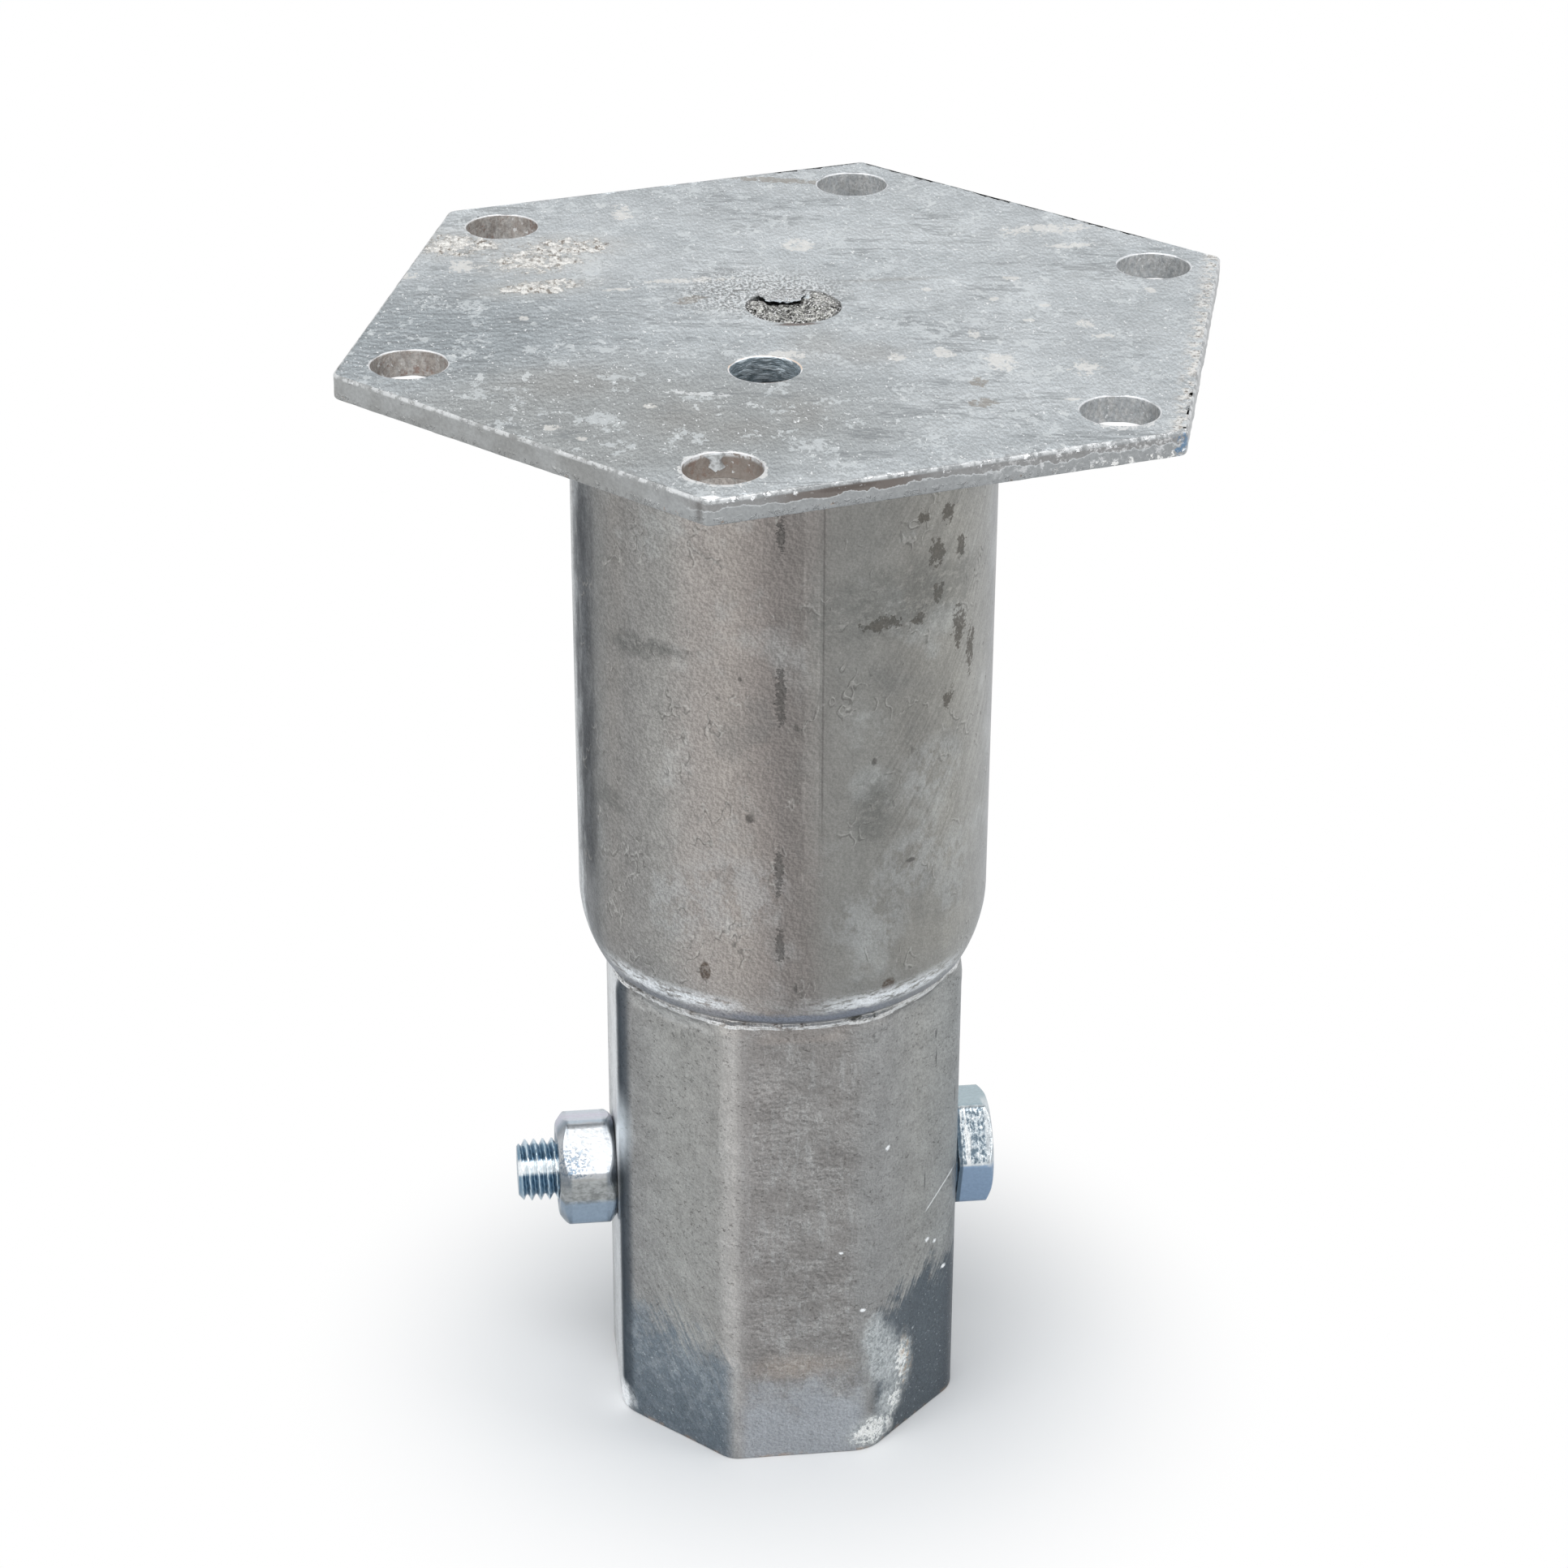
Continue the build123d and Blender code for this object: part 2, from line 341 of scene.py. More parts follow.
# %% Finishes
class Finish(Patterns):
    """One material. Its gain is how much brighter its lamps make it than its own colour."""

    def __init__(self, name, gain=1.0):
        self.material = bpy.data.materials.new(name)
        self.material.use_nodes = True
        super().__init__(self.material.node_tree)
        self.shader = self.tree.nodes["Principled BSDF"]
        self.gain, self.colour = gain, None

    # colours: (r, g, b) as a shader needs them, or outputs
    def rgb(self, red, green, blue, more=1.0):
        """A colour read off a screen, 0 to 255, as this finish has to be to look like it."""
        light = self.gain * more
        return tuple(((c / 255 + 0.055) / 1.055)**2.4 / light for c in (red, green, blue))

    def mix(self, amount, first, second):
        """The first colour where amount is 0, the second where it is 1."""
        return self.node("Mix", {0: amount, 6: first, 7: second}, out=2, data_type="RGBA")

    def mixed(self, amount, first, second):
        """Like mix, for plain numbers."""
        return self.node("Mix", {0: amount, 2: first, 3: second}, data_type="FLOAT")

    def shade(self, colour, amount, strength):
        """A colour made darker and lighter as amount goes from 0 to 1, by strength either way."""
        level = amount * (2 * strength) + (1 - strength)
        return self.node("VectorMath", {0: colour, "Scale": level}, operation="SCALE")

    def paint(self, amount, *new):
        """Lays a colour over the finish: three numbers off a screen, or one colour."""
        self.colour = self.mix(amount, self.colour, self.rgb(*new) if len(new) > 1 else new[0])

    def tone(self, amount, strength):
        self.colour = self.shade(self.colour, amount, strength)

    def ramp(self, value, stops):
        """A colour for each value, from (value, screen colour, own gain) rows."""
        low, high = stops[0][0], stops[-1][0]
        spread = self.node("MapRange", {"Value": value, "From Min": low, "From Max": high})
        tones = self.node("ValToRGB", {0: spread})
        elements = tones.socket.node.color_ramp.elements
        elements.remove(elements[1])
        for index, (value_at, colour, *own) in enumerate(stops):
            share = (value_at - low) / (high - low)
            element = elements[0] if index == 0 else elements.new(share)
            element.position = share
            element.color = (*self.rgb(*colour, *own), 1)
        return tones

    # the end of a recipe
    def relief(self, *layers):
        """Bump from (height, millimetres) layers, added up."""
        first, *others = (height * depth for height, depth in layers)
        return self.node("Bump", {"Strength": 1.0, "Distance": MM, "Height": sum(others, first)})

    def coat(self, roughness, metal, bump=None, tint=None):
        """Sets the shader's own sockets."""
        values = {"Base Color": self.colour, "Roughness": roughness, "Metallic": metal,
                  "Normal": bump, "Specular Tint": tint}
        for name, value in values.items():
            if value is not None:
                self.feed(self.shader.inputs[name], value)
        return self.material


print("finish helper ready")

# %% [markdown]
# ## The floor
#
# Zinc shows whatever stands round it, so the studio is part of the finish. The floor is pale
# and goes to pure white away from the part, in reflections too, and it keeps the soft shadow
# near the foot.

# %% Floor
FLOOR_REACH = 8.0
SHADOW_REACH = (40, 135)
MIRROR_REACH = (120, 420)
FLOOR_COLOUR = (0.88, 0.88, 0.88)
WHITE = (1, 1, 1)


def pale_floor():
    """A wide floor that is plain white away from the part."""
    mesh = bpy.data.meshes.new("floor")
    half = FLOOR_REACH
    corners = [(-half, -half, 0), (half, -half, 0), (half, half, 0), (-half, half, 0)]
    mesh.from_pydata(corners, [], [(0, 1, 2, 3)])
    floor = place_object("floor", mesh)
    finish = Finish("floor_paint")
    finish.colour = FLOOR_COLOUR
    finish.coat(0.9, 0.0)
    finish.shader.inputs["Specular IOR Level"].default_value = 0.0
    away = finish.node("VectorMath", {0: finish.place}, "Value", operation="LENGTH")
    rays = finish.rays()
    looked_at = finish.fade(away, *SHADOW_REACH) * rays["Is Camera Ray"]
    mirrored = finish.either(rays["Is Glossy Ray"], rays["Is Transmission Ray"])
    mirrored = finish.fade(away, *MIRROR_REACH) * mirrored
    white = finish.node("Emission", {"Color": WHITE})
    shaders = {0: finish.either(looked_at, mirrored), 1: finish.shader.outputs[0], 2: white}
    output = finish.tree.nodes["Material Output"]
    finish.feed(output.inputs["Surface"], finish.node("MixShader", shaders))
    mesh.materials.append(finish.material)
    return floor


pale_floor()
print("floor reaches", FLOOR_REACH, "m each way")

# %% [markdown]
# ## The world and the lamps
#
# One broad lamp overhead gives the top of the plate its light, and leaves the shade under the
# plate that darkens the socket's lower end, where more shade is painted into the zinc. Two weak
# ones fill in from the sides.

# %% World and lamps
AMBIENT = (0.50, 0.53, 0.56)


def studio_world():
    """Soft even light from all round, seen as white by the camera and in the metal."""
    world = bpy.data.worlds.new("studio")
    bpy.context.scene.world = world
    world.use_nodes = True
    sky = Recipe(world.node_tree)
    rays = sky.rays()
    seen = sky.either(*(rays[f"Is {kind} Ray"] for kind in ("Camera", "Glossy", "Transmission")))
    ambient = sky.tree.nodes["Background"]
    sky.feed(ambient.inputs["Color"], AMBIENT)
    white = sky.node("Background", {"Color": WHITE})
    blend = sky.node("MixShader", {0: seen, 1: ambient.outputs[0], 2: white})
    sky.feed(sky.tree.nodes["World Output"].inputs["Surface"], blend)


def area_lamp(name, place, aim, size, watts):
    """A square soft box at place, turned towards aim, both in metres."""
    data = bpy.data.lights.new(name, "AREA")
    data.size = size
    data.energy = watts
    lamp = place_object(name, data)
    lamp.location = place
    lamp.rotation_euler = (Vector(aim) - Vector(place)).to_track_quat("-Z", "Y").to_euler()


studio_world()
area_lamp("overhead", (-0.15, -0.35, 1.7), (0, 0, 0.2), 1.1, 15)
area_lamp("left_fill", (-1.3, -0.9, 0.8), (0, 0, 0.15), 0.8, 5)
area_lamp("right_fill", (1.3, -0.5, 0.7), (0, 0, 0.15), 0.6, 4)

# %% [markdown]
# ## Helpers for meshes
#
# Zinc rounds every edge and lays a slightly uneven skin on every face. Plain cylinders and
# boxes can't show that, so each piece is a grid of points worked out from a formula: rows
# along the piece, columns round it, and a radius or a height for each point. `lumps` is a
# smooth noise in millimetres that bends the skin a little.

# %% Mesh helpers
def lumps(x, y, z, size, seed=0.0):
    """Smooth noise from about -1 to 1, its lumps size mm across."""
    return noise.noise(Vector((x / size + seed, y / size - seed, z / size + 2 * seed)))


def step(value, start, end):
    """0 at start, 1 at end, smooth between, for plain numbers."""
    share = min(1.0, max(0.0, (value - start) / (end - start)))
    return share * share * (3 - 2 * share)


def rows_between(start, end, spacing):
    """Evenly spaced values from start up to but not including end."""
    count = max(1, round(abs(end - start) / spacing))
    return [start + (end - start) * i / count for i in range(count)]


def rows_through(*knots):
    """Evenly spaced values through several runs, from (start, spacing) pairs and a last end."""
    rows = []
    for (start, spacing), following in zip(knots, knots[1:]):
        end = following[0] if isinstance(following, tuple) else following
        rows += rows_between(start, end, spacing)
    return rows


def round_turns(columns):
    """Directions all the way round, in radians."""
    return [2 * math.pi * column / columns for column in range(columns)]


def grid_faces(rows, columns, wrap_rows=False, first=0):
    """Quads over a grid whose columns close on themselves."""
    faces = []
    for row in range(rows if wrap_rows else rows - 1):
        lower, upper = first + row * columns, first + (row + 1) % rows * columns
        for column in range(columns):
            following = (column + 1) % columns
            faces.append((lower + column, lower + following, upper + following, upper + column))
    return faces


def new_mesh(name, points, faces, face_slots=None):
    """A mesh from points in millimetres, its faces turned outwards."""
    mesh = bpy.data.meshes.new(name)
    mesh.from_pydata([tuple(c * MM for c in p) for p in points], [], faces)
    if face_slots is not None:
        mesh.polygons.foreach_set("material_index", face_slots)
    shape = bmesh.new()
    shape.from_mesh(mesh)
    bmesh.ops.recalc_face_normals(shape, faces=shape.faces)
    shape.to_mesh(mesh)
    shape.free()
    return mesh


def new_piece(name, points, faces, node, sharp, face_slots=None):
    """A piece of the part that rides on its body and takes the place of a CAD node."""
    mesh = new_mesh(name, points, faces, face_slots)
    mesh.shade_smooth()
    mesh.set_sharp_from_angle(angle=math.radians(sharp))
    piece = place_object(name, mesh)
    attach(piece, "root")
    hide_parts(node)
    spans = (max(along) - min(along) for along in zip(*points))
    print(f"{name}: {len(points)} points,", " x ".join(f"{span:.1f}" for span in spans), "mm")
    return piece


print("mesh helpers ready")

# %% [markdown]
# ## The shaft tube
#
# The real tube starts as round pipe. A press with eight jaws pushes its lower end in to an
# octagon, and the metal flows: the shoulder above stays round, a groove and a thin lip are
# left at its foot, and the eight corners end in small ledges. So the outer skin here is one
# radius for each height and angle: the octagon's radius below, the shoulder's arc above.

# %% Shape of the tube
SOCKET_APOTHEM = 43.5
PRESSED = 129.9
LIP_RADIUS = 45.0
LIP_SLOPE = 0.326
LEDGE_RISE = 0.35
GROOVE_RADIUS = 44.4
GROOVE_HEIGHT = 130.5
SHOULDER_FOOT = (46.7, 132.3)
SHOULDER_RADIUS = 32.4
SHOULDER_TOP = 148.08
TUBE_TOP = tube_high.z
BORE_BLEND = 1.4
# the corners at 22.5, 67.5 ... degrees, some pressed sharper than others
CORNER_RADII = {-157.5: 10.0, -112.5: 6.5, -67.5: 10.7, -22.5: 8.9}
CORNER_RADIUS = 9.0
CORNER_GIVES = (126.5, 129.9)


def octagon_radius(angle, apothem, corner_radii):
    """Distance from the axis to an octagon with rounded corners, along an angle in degrees."""
    flat = round(angle / 45) * 45
    corner = math.floor(angle / 45) * 45 + 22.5
    name = (corner + 180) % 360 - 180
    radius = corner_radii.get(name, CORNER_RADIUS)
    off_flat = math.radians(angle - flat)
    run = (apothem - radius) * math.tan(math.radians(22.5))
    if abs(math.tan(off_flat)) * apothem <= run:
        return apothem / math.cos(off_flat)
    reach = (apothem - radius) / math.cos(math.radians(22.5))
    off_corner = math.radians(angle - corner)
    return reach * math.cos(off_corner) + math.sqrt(radius**2 - (reach * math.sin(off_corner))**2)


def shoulder_radius_at(height, inward=0.0):
    """Radius of the shoulder's arc at a height."""
    arc = SHOULDER_RADIUS - inward
    drop = min(arc, SHOULDER_TOP - height)
    return TUBE_RADIUS - SHOULDER_RADIUS + math.sqrt(arc * arc - drop * drop)


def outer_radius(angle, height):
    """The tube's outer skin."""
    if height >= SHOULDER_TOP:
        return TUBE_RADIUS
    if height >= SHOULDER_FOOT[1]:
        return shoulder_radius_at(height)
    octagon = octagon_radius(angle, SOCKET_APOTHEM, CORNER_RADII)
    if octagon > LIP_RADIUS:
        octagon += (LIP_RADIUS + LEDGE_RISE - octagon) * 0.75 * step(height, *CORNER_GIVES)
    if height <= PRESSED:
        return max(octagon, LIP_RADIUS - (PRESSED - height) * LIP_SLOPE)
    if height <= GROOVE_HEIGHT:
        groove = LIP_RADIUS + (GROOVE_RADIUS - LIP_RADIUS) * (height - PRESSED) / 0.6
        ledge = max(octagon, LIP_RADIUS)
        return ledge + (groove - ledge) * step(height, PRESSED, PRESSED + 0.5)
    rise = (height - GROOVE_HEIGHT) / (SHOULDER_FOOT[1] - GROOVE_HEIGHT)
    return GROOVE_RADIUS + (SHOULDER_FOOT[0] - GROOVE_RADIUS) * rise


def inner_radius(angle, height):
    """The bore: octagonal below, narrowing with the shoulder above."""
    if height >= SHOULDER_TOP:
        return TUBE_RADIUS - TUBE_WALL
    octagon = octagon_radius(angle, SOCKET_APOTHEM - TUBE_WALL, {})
    if height <= PRESSED - BORE_BLEND:
        return octagon
    round_bore = shoulder_radius_at(max(height, SHOULDER_FOOT[1]), TUBE_WALL)
    return octagon + (round_bore - octagon) * step(height, PRESSED - BORE_BLEND, SHOULDER_FOOT[1])


print(f"outer radius {outer_radius(0, 60):.2f} mm on a flat, {outer_radius(67.5, 60):.2f} mm on a corner")

# %% [markdown]
# ### The tube's skin
#
# The press and the zinc leave marks on that shape: slow waves, a torn rim at the lip, and
# flats that are pressed slightly hollow. They are added to the radius, so the mesh has them.

# %% Skin of the tube
CLEAR = 0.02


def tube_skin(angle, height):
    """How far the zinc and the press marks move the outer skin, in millimetres."""
    x, y = at(TUBE_RADIUS, math.radians(angle))
    move = 0.10 * lumps(x, y, height / 3, 14, 3.1) + 0.03 * lumps(x, y, height, 3.5, 8.2)
    near_lip = step(height, 121, 126) * (1 - step(height, 129.5, 131))
    if near_lip:
        move += near_lip * 0.22 * lumps(x, y, height * 0.8, 4.2, 5.5)
        move += near_lip * 0.10 * lumps(x, y, height, 1.3, 2.5)
        for corner in (-112.5, -67.5):
            away = ((angle - corner) / 1.3)**2 + ((height - PRESSED) / 0.8)**2
            move += 0.7 * math.exp(-away)
    if height < PRESSED:
        hollow = abs((angle % 45) - 22.5) / 22.5
        move -= 0.25 * step(hollow, 0.4, 1.0) * step(height, 4, 40) * step(130 - height, 4, 40)
    return move


def outer_skin(angle, height, move):
    """The radius with its marks, which stays clear of the CAD's own radius."""
    radius = outer_radius(angle, height) + tube_skin(angle, height) + move
    return min(radius, TUBE_RADIUS - CLEAR)


def inner_skin(angle, height, move):
    x, y = at(40, math.radians(angle))
    return inner_radius(angle, height) + move + 0.06 * lumps(x, y, height, 8, 6.0)


print(f"the skin moves {tube_skin(0, 60):.2f} mm on a flat, {tube_skin(10, 128):.2f} mm by the lip")

# %% [markdown]
# ### The tube's mesh and its bolt holes
#
# The rows of points lie closer together round the lip, where the shape turns. The two bolt
# holes are cut last, because a drill goes through both walls at once there too.

# %% Mesh of the tube
TUBE_COLUMNS = 288
RIM_ROUND = 0.45
# where each spacing of rows starts, up the outside and down the inside
OUTER_ROWS = ((RIM_ROUND, 2.0), (118, 0.36), (134, 0.8), (149, 2.2), TUBE_TOP - 0.2)
INNER_ROWS = ((TUBE_TOP, 5.0), (150, 1.2), (126, 3.0), RIM_ROUND)
DRILL_RADIUS = 8.5
DRILL_REACH = 70


def shaft_tube():
    """Rows up the outside and down the inside, closer together where the shape turns."""
    outer = [(0.0, -RIM_ROUND), (0.13, -RIM_ROUND * 0.3)]
    outer += [(z, 0.0) for z in rows_through(*OUTER_ROWS)] + [(TUBE_TOP, -0.2)]
    inner = [(z, 0.0) for z in rows_through(*INNER_ROWS)]
    inner += [(0.13, RIM_ROUND * 0.3), (0.0, RIM_ROUND)]
    points = []
    for skin, rows in ((outer_skin, outer), (inner_skin, inner)):
        for height, move in rows:
            for column in range(TUBE_COLUMNS):
                angle = 360 * column / TUBE_COLUMNS - 180
                points.append((*at(skin(angle, height, move), math.radians(angle)), height))
    faces = grid_faces(len(outer) + len(inner), TUBE_COLUMNS, wrap_rows=True)
    tube = new_piece("shaft_tube_skin", points, faces, "shaft_tube", sharp=50)
    drill_holes(tube)
    return tube


def drill_holes(tube):
    """Cuts the cross bolt's two holes, as a drill through both walls does."""
    count = 96
    ring = [at(DRILL_RADIUS, turn, (0, BOLT_HEIGHT)) for turn in round_turns(count)]
    points = [(x, y, z) for x in (-DRILL_REACH, DRILL_REACH) for y, z in ring]
    faces = grid_faces(2, count) + [tuple(range(count)), tuple(range(count, 2 * count))]
    drill = place_object("drill", new_mesh("drill", points, faces))
    cut = tube.modifiers.new("bolt_holes", "BOOLEAN")
    cut.operation = "DIFFERENCE"
    cut.solver = "EXACT"
    cut.object = drill
    graph = bpy.context.evaluated_depsgraph_get()
    old, tube.data = tube.data, bpy.data.meshes.new_from_object(tube.evaluated_get(graph))
    tube.modifiers.clear()
    bpy.data.meshes.remove(old)
    bpy.data.objects.remove(drill)
    print("bolt holes cut,", len(tube.data.vertices), "points left")


tube = shaft_tube()

# %% [markdown]
# ## The flange plate
#
# The plate is flame or plasma cut from 6 mm sheet, with a bolt hole at each corner, a small
# drain hole and a vent hole. Those two let zinc run in and air out in the bath. The zinc
# rounds the cut edges, so every rim here is a stack of rings that curve over, and the flat
# faces between the rings are filled with small triangles that rise and sink a little.

# %% Outline and holes
PLATE_CENTRE = (1.95, -0.23)
PLATE_BEARING = 14.0
PLATE_REACH = 110.1
CORNER_ROUNDS = (3.0, 1.7, 3.0, 3.0, 2.0, 2.4)
SIDE_STEP = 1.4
HOLE_CIRCLE = 92.25
HOLE_RADIUS = 8.75
DRAIN = (-8.40, -34.08, 8.0)
VENT = (2.6, 4.4, 11.0)
HOLES = [
    (*at(HOLE_CIRCLE, math.radians(PLATE_BEARING + 60 * k), PLATE_CENTRE), HOLE_RADIUS) for k in range(6)
] + [DRAIN, VENT]


def plate_outline(inset):
    """The plate's outline moved in by inset, always with the same number of points."""
    corners = []
    for index, round_off in enumerate(CORNER_ROUNDS):
        inner = max(round_off - inset, 0.05)
        reach = PLATE_REACH - (inset + inner) / math.cos(math.radians(30))
        bearing = PLATE_BEARING + 60 * index
        corners.append((bearing, inner, Vector(at(reach, math.radians(bearing), PLATE_CENTRE))))
    points = []
    for (bearing, inner, centre), (_, next_inner, next_centre) in zip(corners, corners[1:] + corners[:1]):
        for part in range(9):
            points.append(centre + inner * Vector(at(1, math.radians(bearing - 30 + 60 * part / 8))))
        outward = Vector(at(1, math.radians(bearing + 30)))
        start, end = centre + inner * outward, next_centre + next_inner * outward
        count = round(PLATE_REACH / SIDE_STEP)
        points += [start.lerp(end, part / count) for part in range(1, count)]
    return points


def over_hole(x, y, margin):
    """Whether a point lies over one of the holes or close to its rim."""
    return any((x - hx)**2 + (y - hy)**2 < (hr + margin)**2 for hx, hy, hr in HOLES)


print(f"{len(HOLES)} holes in an outline of {len(plate_outline(0.0))} points")

# %% [markdown]
# ### The plate's rims
#
# Each rim is a stack of rings that curves in at the top and the bottom. Round some holes the
# zinc hung down as it drained off, so those rims reach a little lower.

# %% Rims of the plate
PLATE_SKIN = 0.10
# for each hole: how far the zinc hangs below it, how round its rim is, its finish
RIMS = [(drip, 0.4, 2) for drip in (0.5, 0.4, 0.5, 0.5, 0.3, 0.5)] + [(0.8, 0.4, 3), (0.0, 0.3, 4)]
LONGEST_DRIP = 0.8
RIM_POINTS = 72
EDGE_ROUND = 0.55


def edge_levels(top, under, rounding, rows):
    """(inset, height) down a rim whose two edges are rounded."""
    turns = [math.radians(90 * part / 4) for part in range(5)]
    deep = under - top + 2 * rounding
    levels = [(rounding * (1 - math.sin(t)), top - rounding * (1 - math.cos(t))) for t in turns]
    levels += [(0.0, top - rounding + deep * part / rows) for part in range(1, rows)]
    levels += [(rounding * (1 - math.cos(t)), under + rounding * (1 - math.sin(t))) for t in turns]
    return levels


def plate_relief(x, y):
    """How far the zinc on the plate's face rises above or sinks below its mean."""
    return 0.055 * lumps(x, y, 0, 22, 1.5) + 0.02 * lumps(x, y, 0, 5, 4.5)


print(len(edge_levels(PLATE_TOP, PLATE_UNDER, EDGE_ROUND, 6)), "rings in each rim")

# %% [markdown]
# ### The plate's mesh
#
# The faces between the rims are flat to the eye. Small triangles fill them, so that they can
# rise and sink with the zinc, and a triangulation keeps the rims' own points as its border.

# %% Mesh of the plate
HALF_FLAT = PLATE_REACH * math.cos(math.radians(30)) - EDGE_ROUND - 0.7


def fill_face(points, faces, rings, height, spacing):
    """Fills the flat face between the outline's ring and the holes' rings with triangles."""
    flat, source, edges = [], [], []
    for start, count in rings:
        first = len(flat)
        for i in range(count):
            flat.append(Vector(points[start + i][:2]))
            source.append(start + i)
            edges.append((first + i, first + (i + 1) % count))
    near = {}
    for p in flat:
        near.setdefault((round(p.x / 3), round(p.y / 3)), []).append(p)
    sides = [at(1, math.radians(PLATE_BEARING + 30 + 60 * k)) for k in range(6)]
    left, nearest = PLATE_CENTRE[0] - PLATE_REACH, PLATE_CENTRE[1] - PLATE_REACH
    steps = int(2 * PLATE_REACH / spacing)
    for i in range(steps):
        for j in range(steps):
            x, y = left + (i + 0.5 * (j % 2)) * spacing, nearest + j * spacing
            off_x, off_y = x - PLATE_CENTRE[0], y - PLATE_CENTRE[1]
            if any(off_x * east + off_y * north >= HALF_FLAT for east, north in sides):
                continue
            cells = [(round(x / 3) + a, round(y / 3) + b) for a in (-1, 0, 1) for b in (-1, 0, 1)]
            beside = (p for cell in cells for p in near.get(cell, ()))
            if over_hole(x, y, 1.5) or any((p.x - x)**2 + (p.y - y)**2 < 0.36 for p in beside):
                continue
            flat.append(Vector((x, y)))
            source.append(None)
    new_points, _, triangles, origins, *_ = geometry.delaunay_2d_cdt(flat, edges, [], 0, 1e-5)
    index = []
    for place, origin in zip(new_points, origins):
        known = next((source[o] for o in origin if source[o] is not None), None)
        if known is None:
            known = len(points)
            points.append((*place, height + plate_relief(*place)))
        index.append(known)
    for triangle in triangles:
        middle = sum((new_points[i] for i in triangle), Vector((0, 0))) / 3
        corner = tuple(index[i] for i in triangle)
        if not over_hole(*middle, 0.15) and len(set(corner)) == 3:
            faces.append(corner)


def flange_plate():
    """The plate: rims from rings, faces from triangles between the innermost rings."""
    top, under = PLATE_TOP - PLATE_SKIN, PLATE_UNDER
    points, faces, slots = [], [], []
    top_rings, under_rings = [], []

    def rim(ring_at, rounding, slot, ragged, seed, drip=0.0):
        levels = edge_levels(top, under - drip, rounding, 6)
        start = len(points)
        widest = ring_at(0.0)
        count = len(widest)
        middle = sum(widest, Vector((0, 0))) / count
        for inset, height in levels:
            deep = (top - height) / (top - under)
            for point in ring_at(inset):
                push = ragged * step(deep, 0.05, 0.4) * lumps(*point, height, 2.6, seed)
                push += 0.5 * ragged * lumps(*point, height * 2, 9, seed)
                moved = point + (point - middle).normalized() * push
                points.append((*moved, height + plate_relief(*point) * (1 - deep)))
        faces.extend(grid_faces(len(levels), count, first=start))
        slots.extend([slot] * ((len(levels) - 1) * count))
        top_rings.append((start, count))
        under_rings.append((start + (len(levels) - 1) * count, count))

    rim(plate_outline, EDGE_ROUND, 1, 0.18, 2.2)
    for k, ((x, y, radius), (drip, rounding, slot)) in enumerate(zip(HOLES, RIMS)):
        def ring_at(inset):
            return [Vector(at(radius + inset, turn, (x, y))) for turn in round_turns(RIM_POINTS)]
        rim(ring_at, rounding, slot, 0.10, 7.0 + k, drip)

    fill_face(points, faces, top_rings, top, 1.35)
    fill_face(points, faces, under_rings, under, 2.6)
    slots += [0] * (len(faces) - len(slots))
    lowest = (*plate_low.xy, plate_low.z - LONGEST_DRIP)
    kept = [[min(max(c, low), high) for c, low, high in zip(p, lowest, plate_high)] for p in points]
    return new_piece("flange_plate_skin", kept, faces, "flange_plate", 60, slots)


plate = flange_plate()

# %% [markdown]
# ## The cross bolt and its nut
#
# A structural bolt goes through both walls of the socket. Its head is forged: a hexagon
# bevelled to a circle at the top, on a thin washer face. The thread is a real helix here:
# each point's radius depends on how far along the bolt it is and on its angle, so a ridge
# climbs one pitch for each turn.

# %% Hexagons and thread
BOLT_RADIUS = 8.0
THREAD_PITCH = 2.3
THREAD_DEPTH = 1.6
SHANK_STARTS = -22.0
HEAD_TURN = 11.3
NUT_TURN = 21.1
WASHER_FACE = 44.4
HEAD_END = bolt_high.x


def hex_radius(angle, turn, corner_round=0.35):
    """Distance from the axis to a hexagon with slightly rounded corners."""
    across = 30 - abs((angle - turn + 30) % 60 - 30)
    straight = HEX_FLATS / 2 / math.cos(math.radians(across))
    most = HEX_FLATS / 2 / math.cos(math.radians(30)) - corner_round
    return soft_least(straight, most, 0.25)


def soft_least(first, second, blend):
    """The smaller of two numbers, rounded off where they cross."""
    share = min(1.0, max(0.0, 0.5 + 0.5 * (second - first) / blend))
    return second + (first - second) * share - blend * share * (1 - share)


def bevel_radius(distance, face_radius, slope=30.0):
    """Radius of the cone that bevels a hexagon's face, at a distance in from that face."""
    return face_radius + distance / math.tan(math.radians(slope))


def thread_at(angle, x):
    """A rolled thread: round roots and nearly sharp crests along a helix, up to the shank."""
    phase = (x / THREAD_PITCH + angle / 360) % 1.0
    depth = min(1.0, max(0.0, (abs(2 * phase - 1) - 0.10) / 0.78))
    radius = BOLT_RADIUS - 0.05 - THREAD_DEPTH * depth
    radius += (BOLT_RADIUS - radius) * step(x, SHANK_STARTS - 5, SHANK_STARTS)
    return min(radius, 6.3 + (x - bolt_low.x) * 1.1)


def washer_at(most):
    """The foot of the head's hexagon, where it grows out of the washer face."""
    return lambda angle, x: min(most, hex_radius(angle, HEAD_TURN))


def head_at(angle, x):
    return soft_least(hex_radius(angle, HEAD_TURN), bevel_radius(HEAD_END - x, 12.9), 0.2)


def nut_at(angle, x):
    bevel = min(bevel_radius(nut_high.x - x, 12.4, 36.0), bevel_radius(x - nut_low.x, 11.9, 36.0))
    return soft_least(hex_radius(angle, NUT_TURN, 0.5), bevel, 0.3)


flats = 2 * hex_radius(HEAD_TURN + 30, HEAD_TURN)
print(f"hexagon {flats:.1f} mm across flats, thread pitch {THREAD_PITCH} mm")

# %% [markdown]
# ### The meshes of bolt and nut
#
# Both are turned like work on a lathe: a row of sections along the bolt, each a ring whose
# radius is a number or one of the rules above.

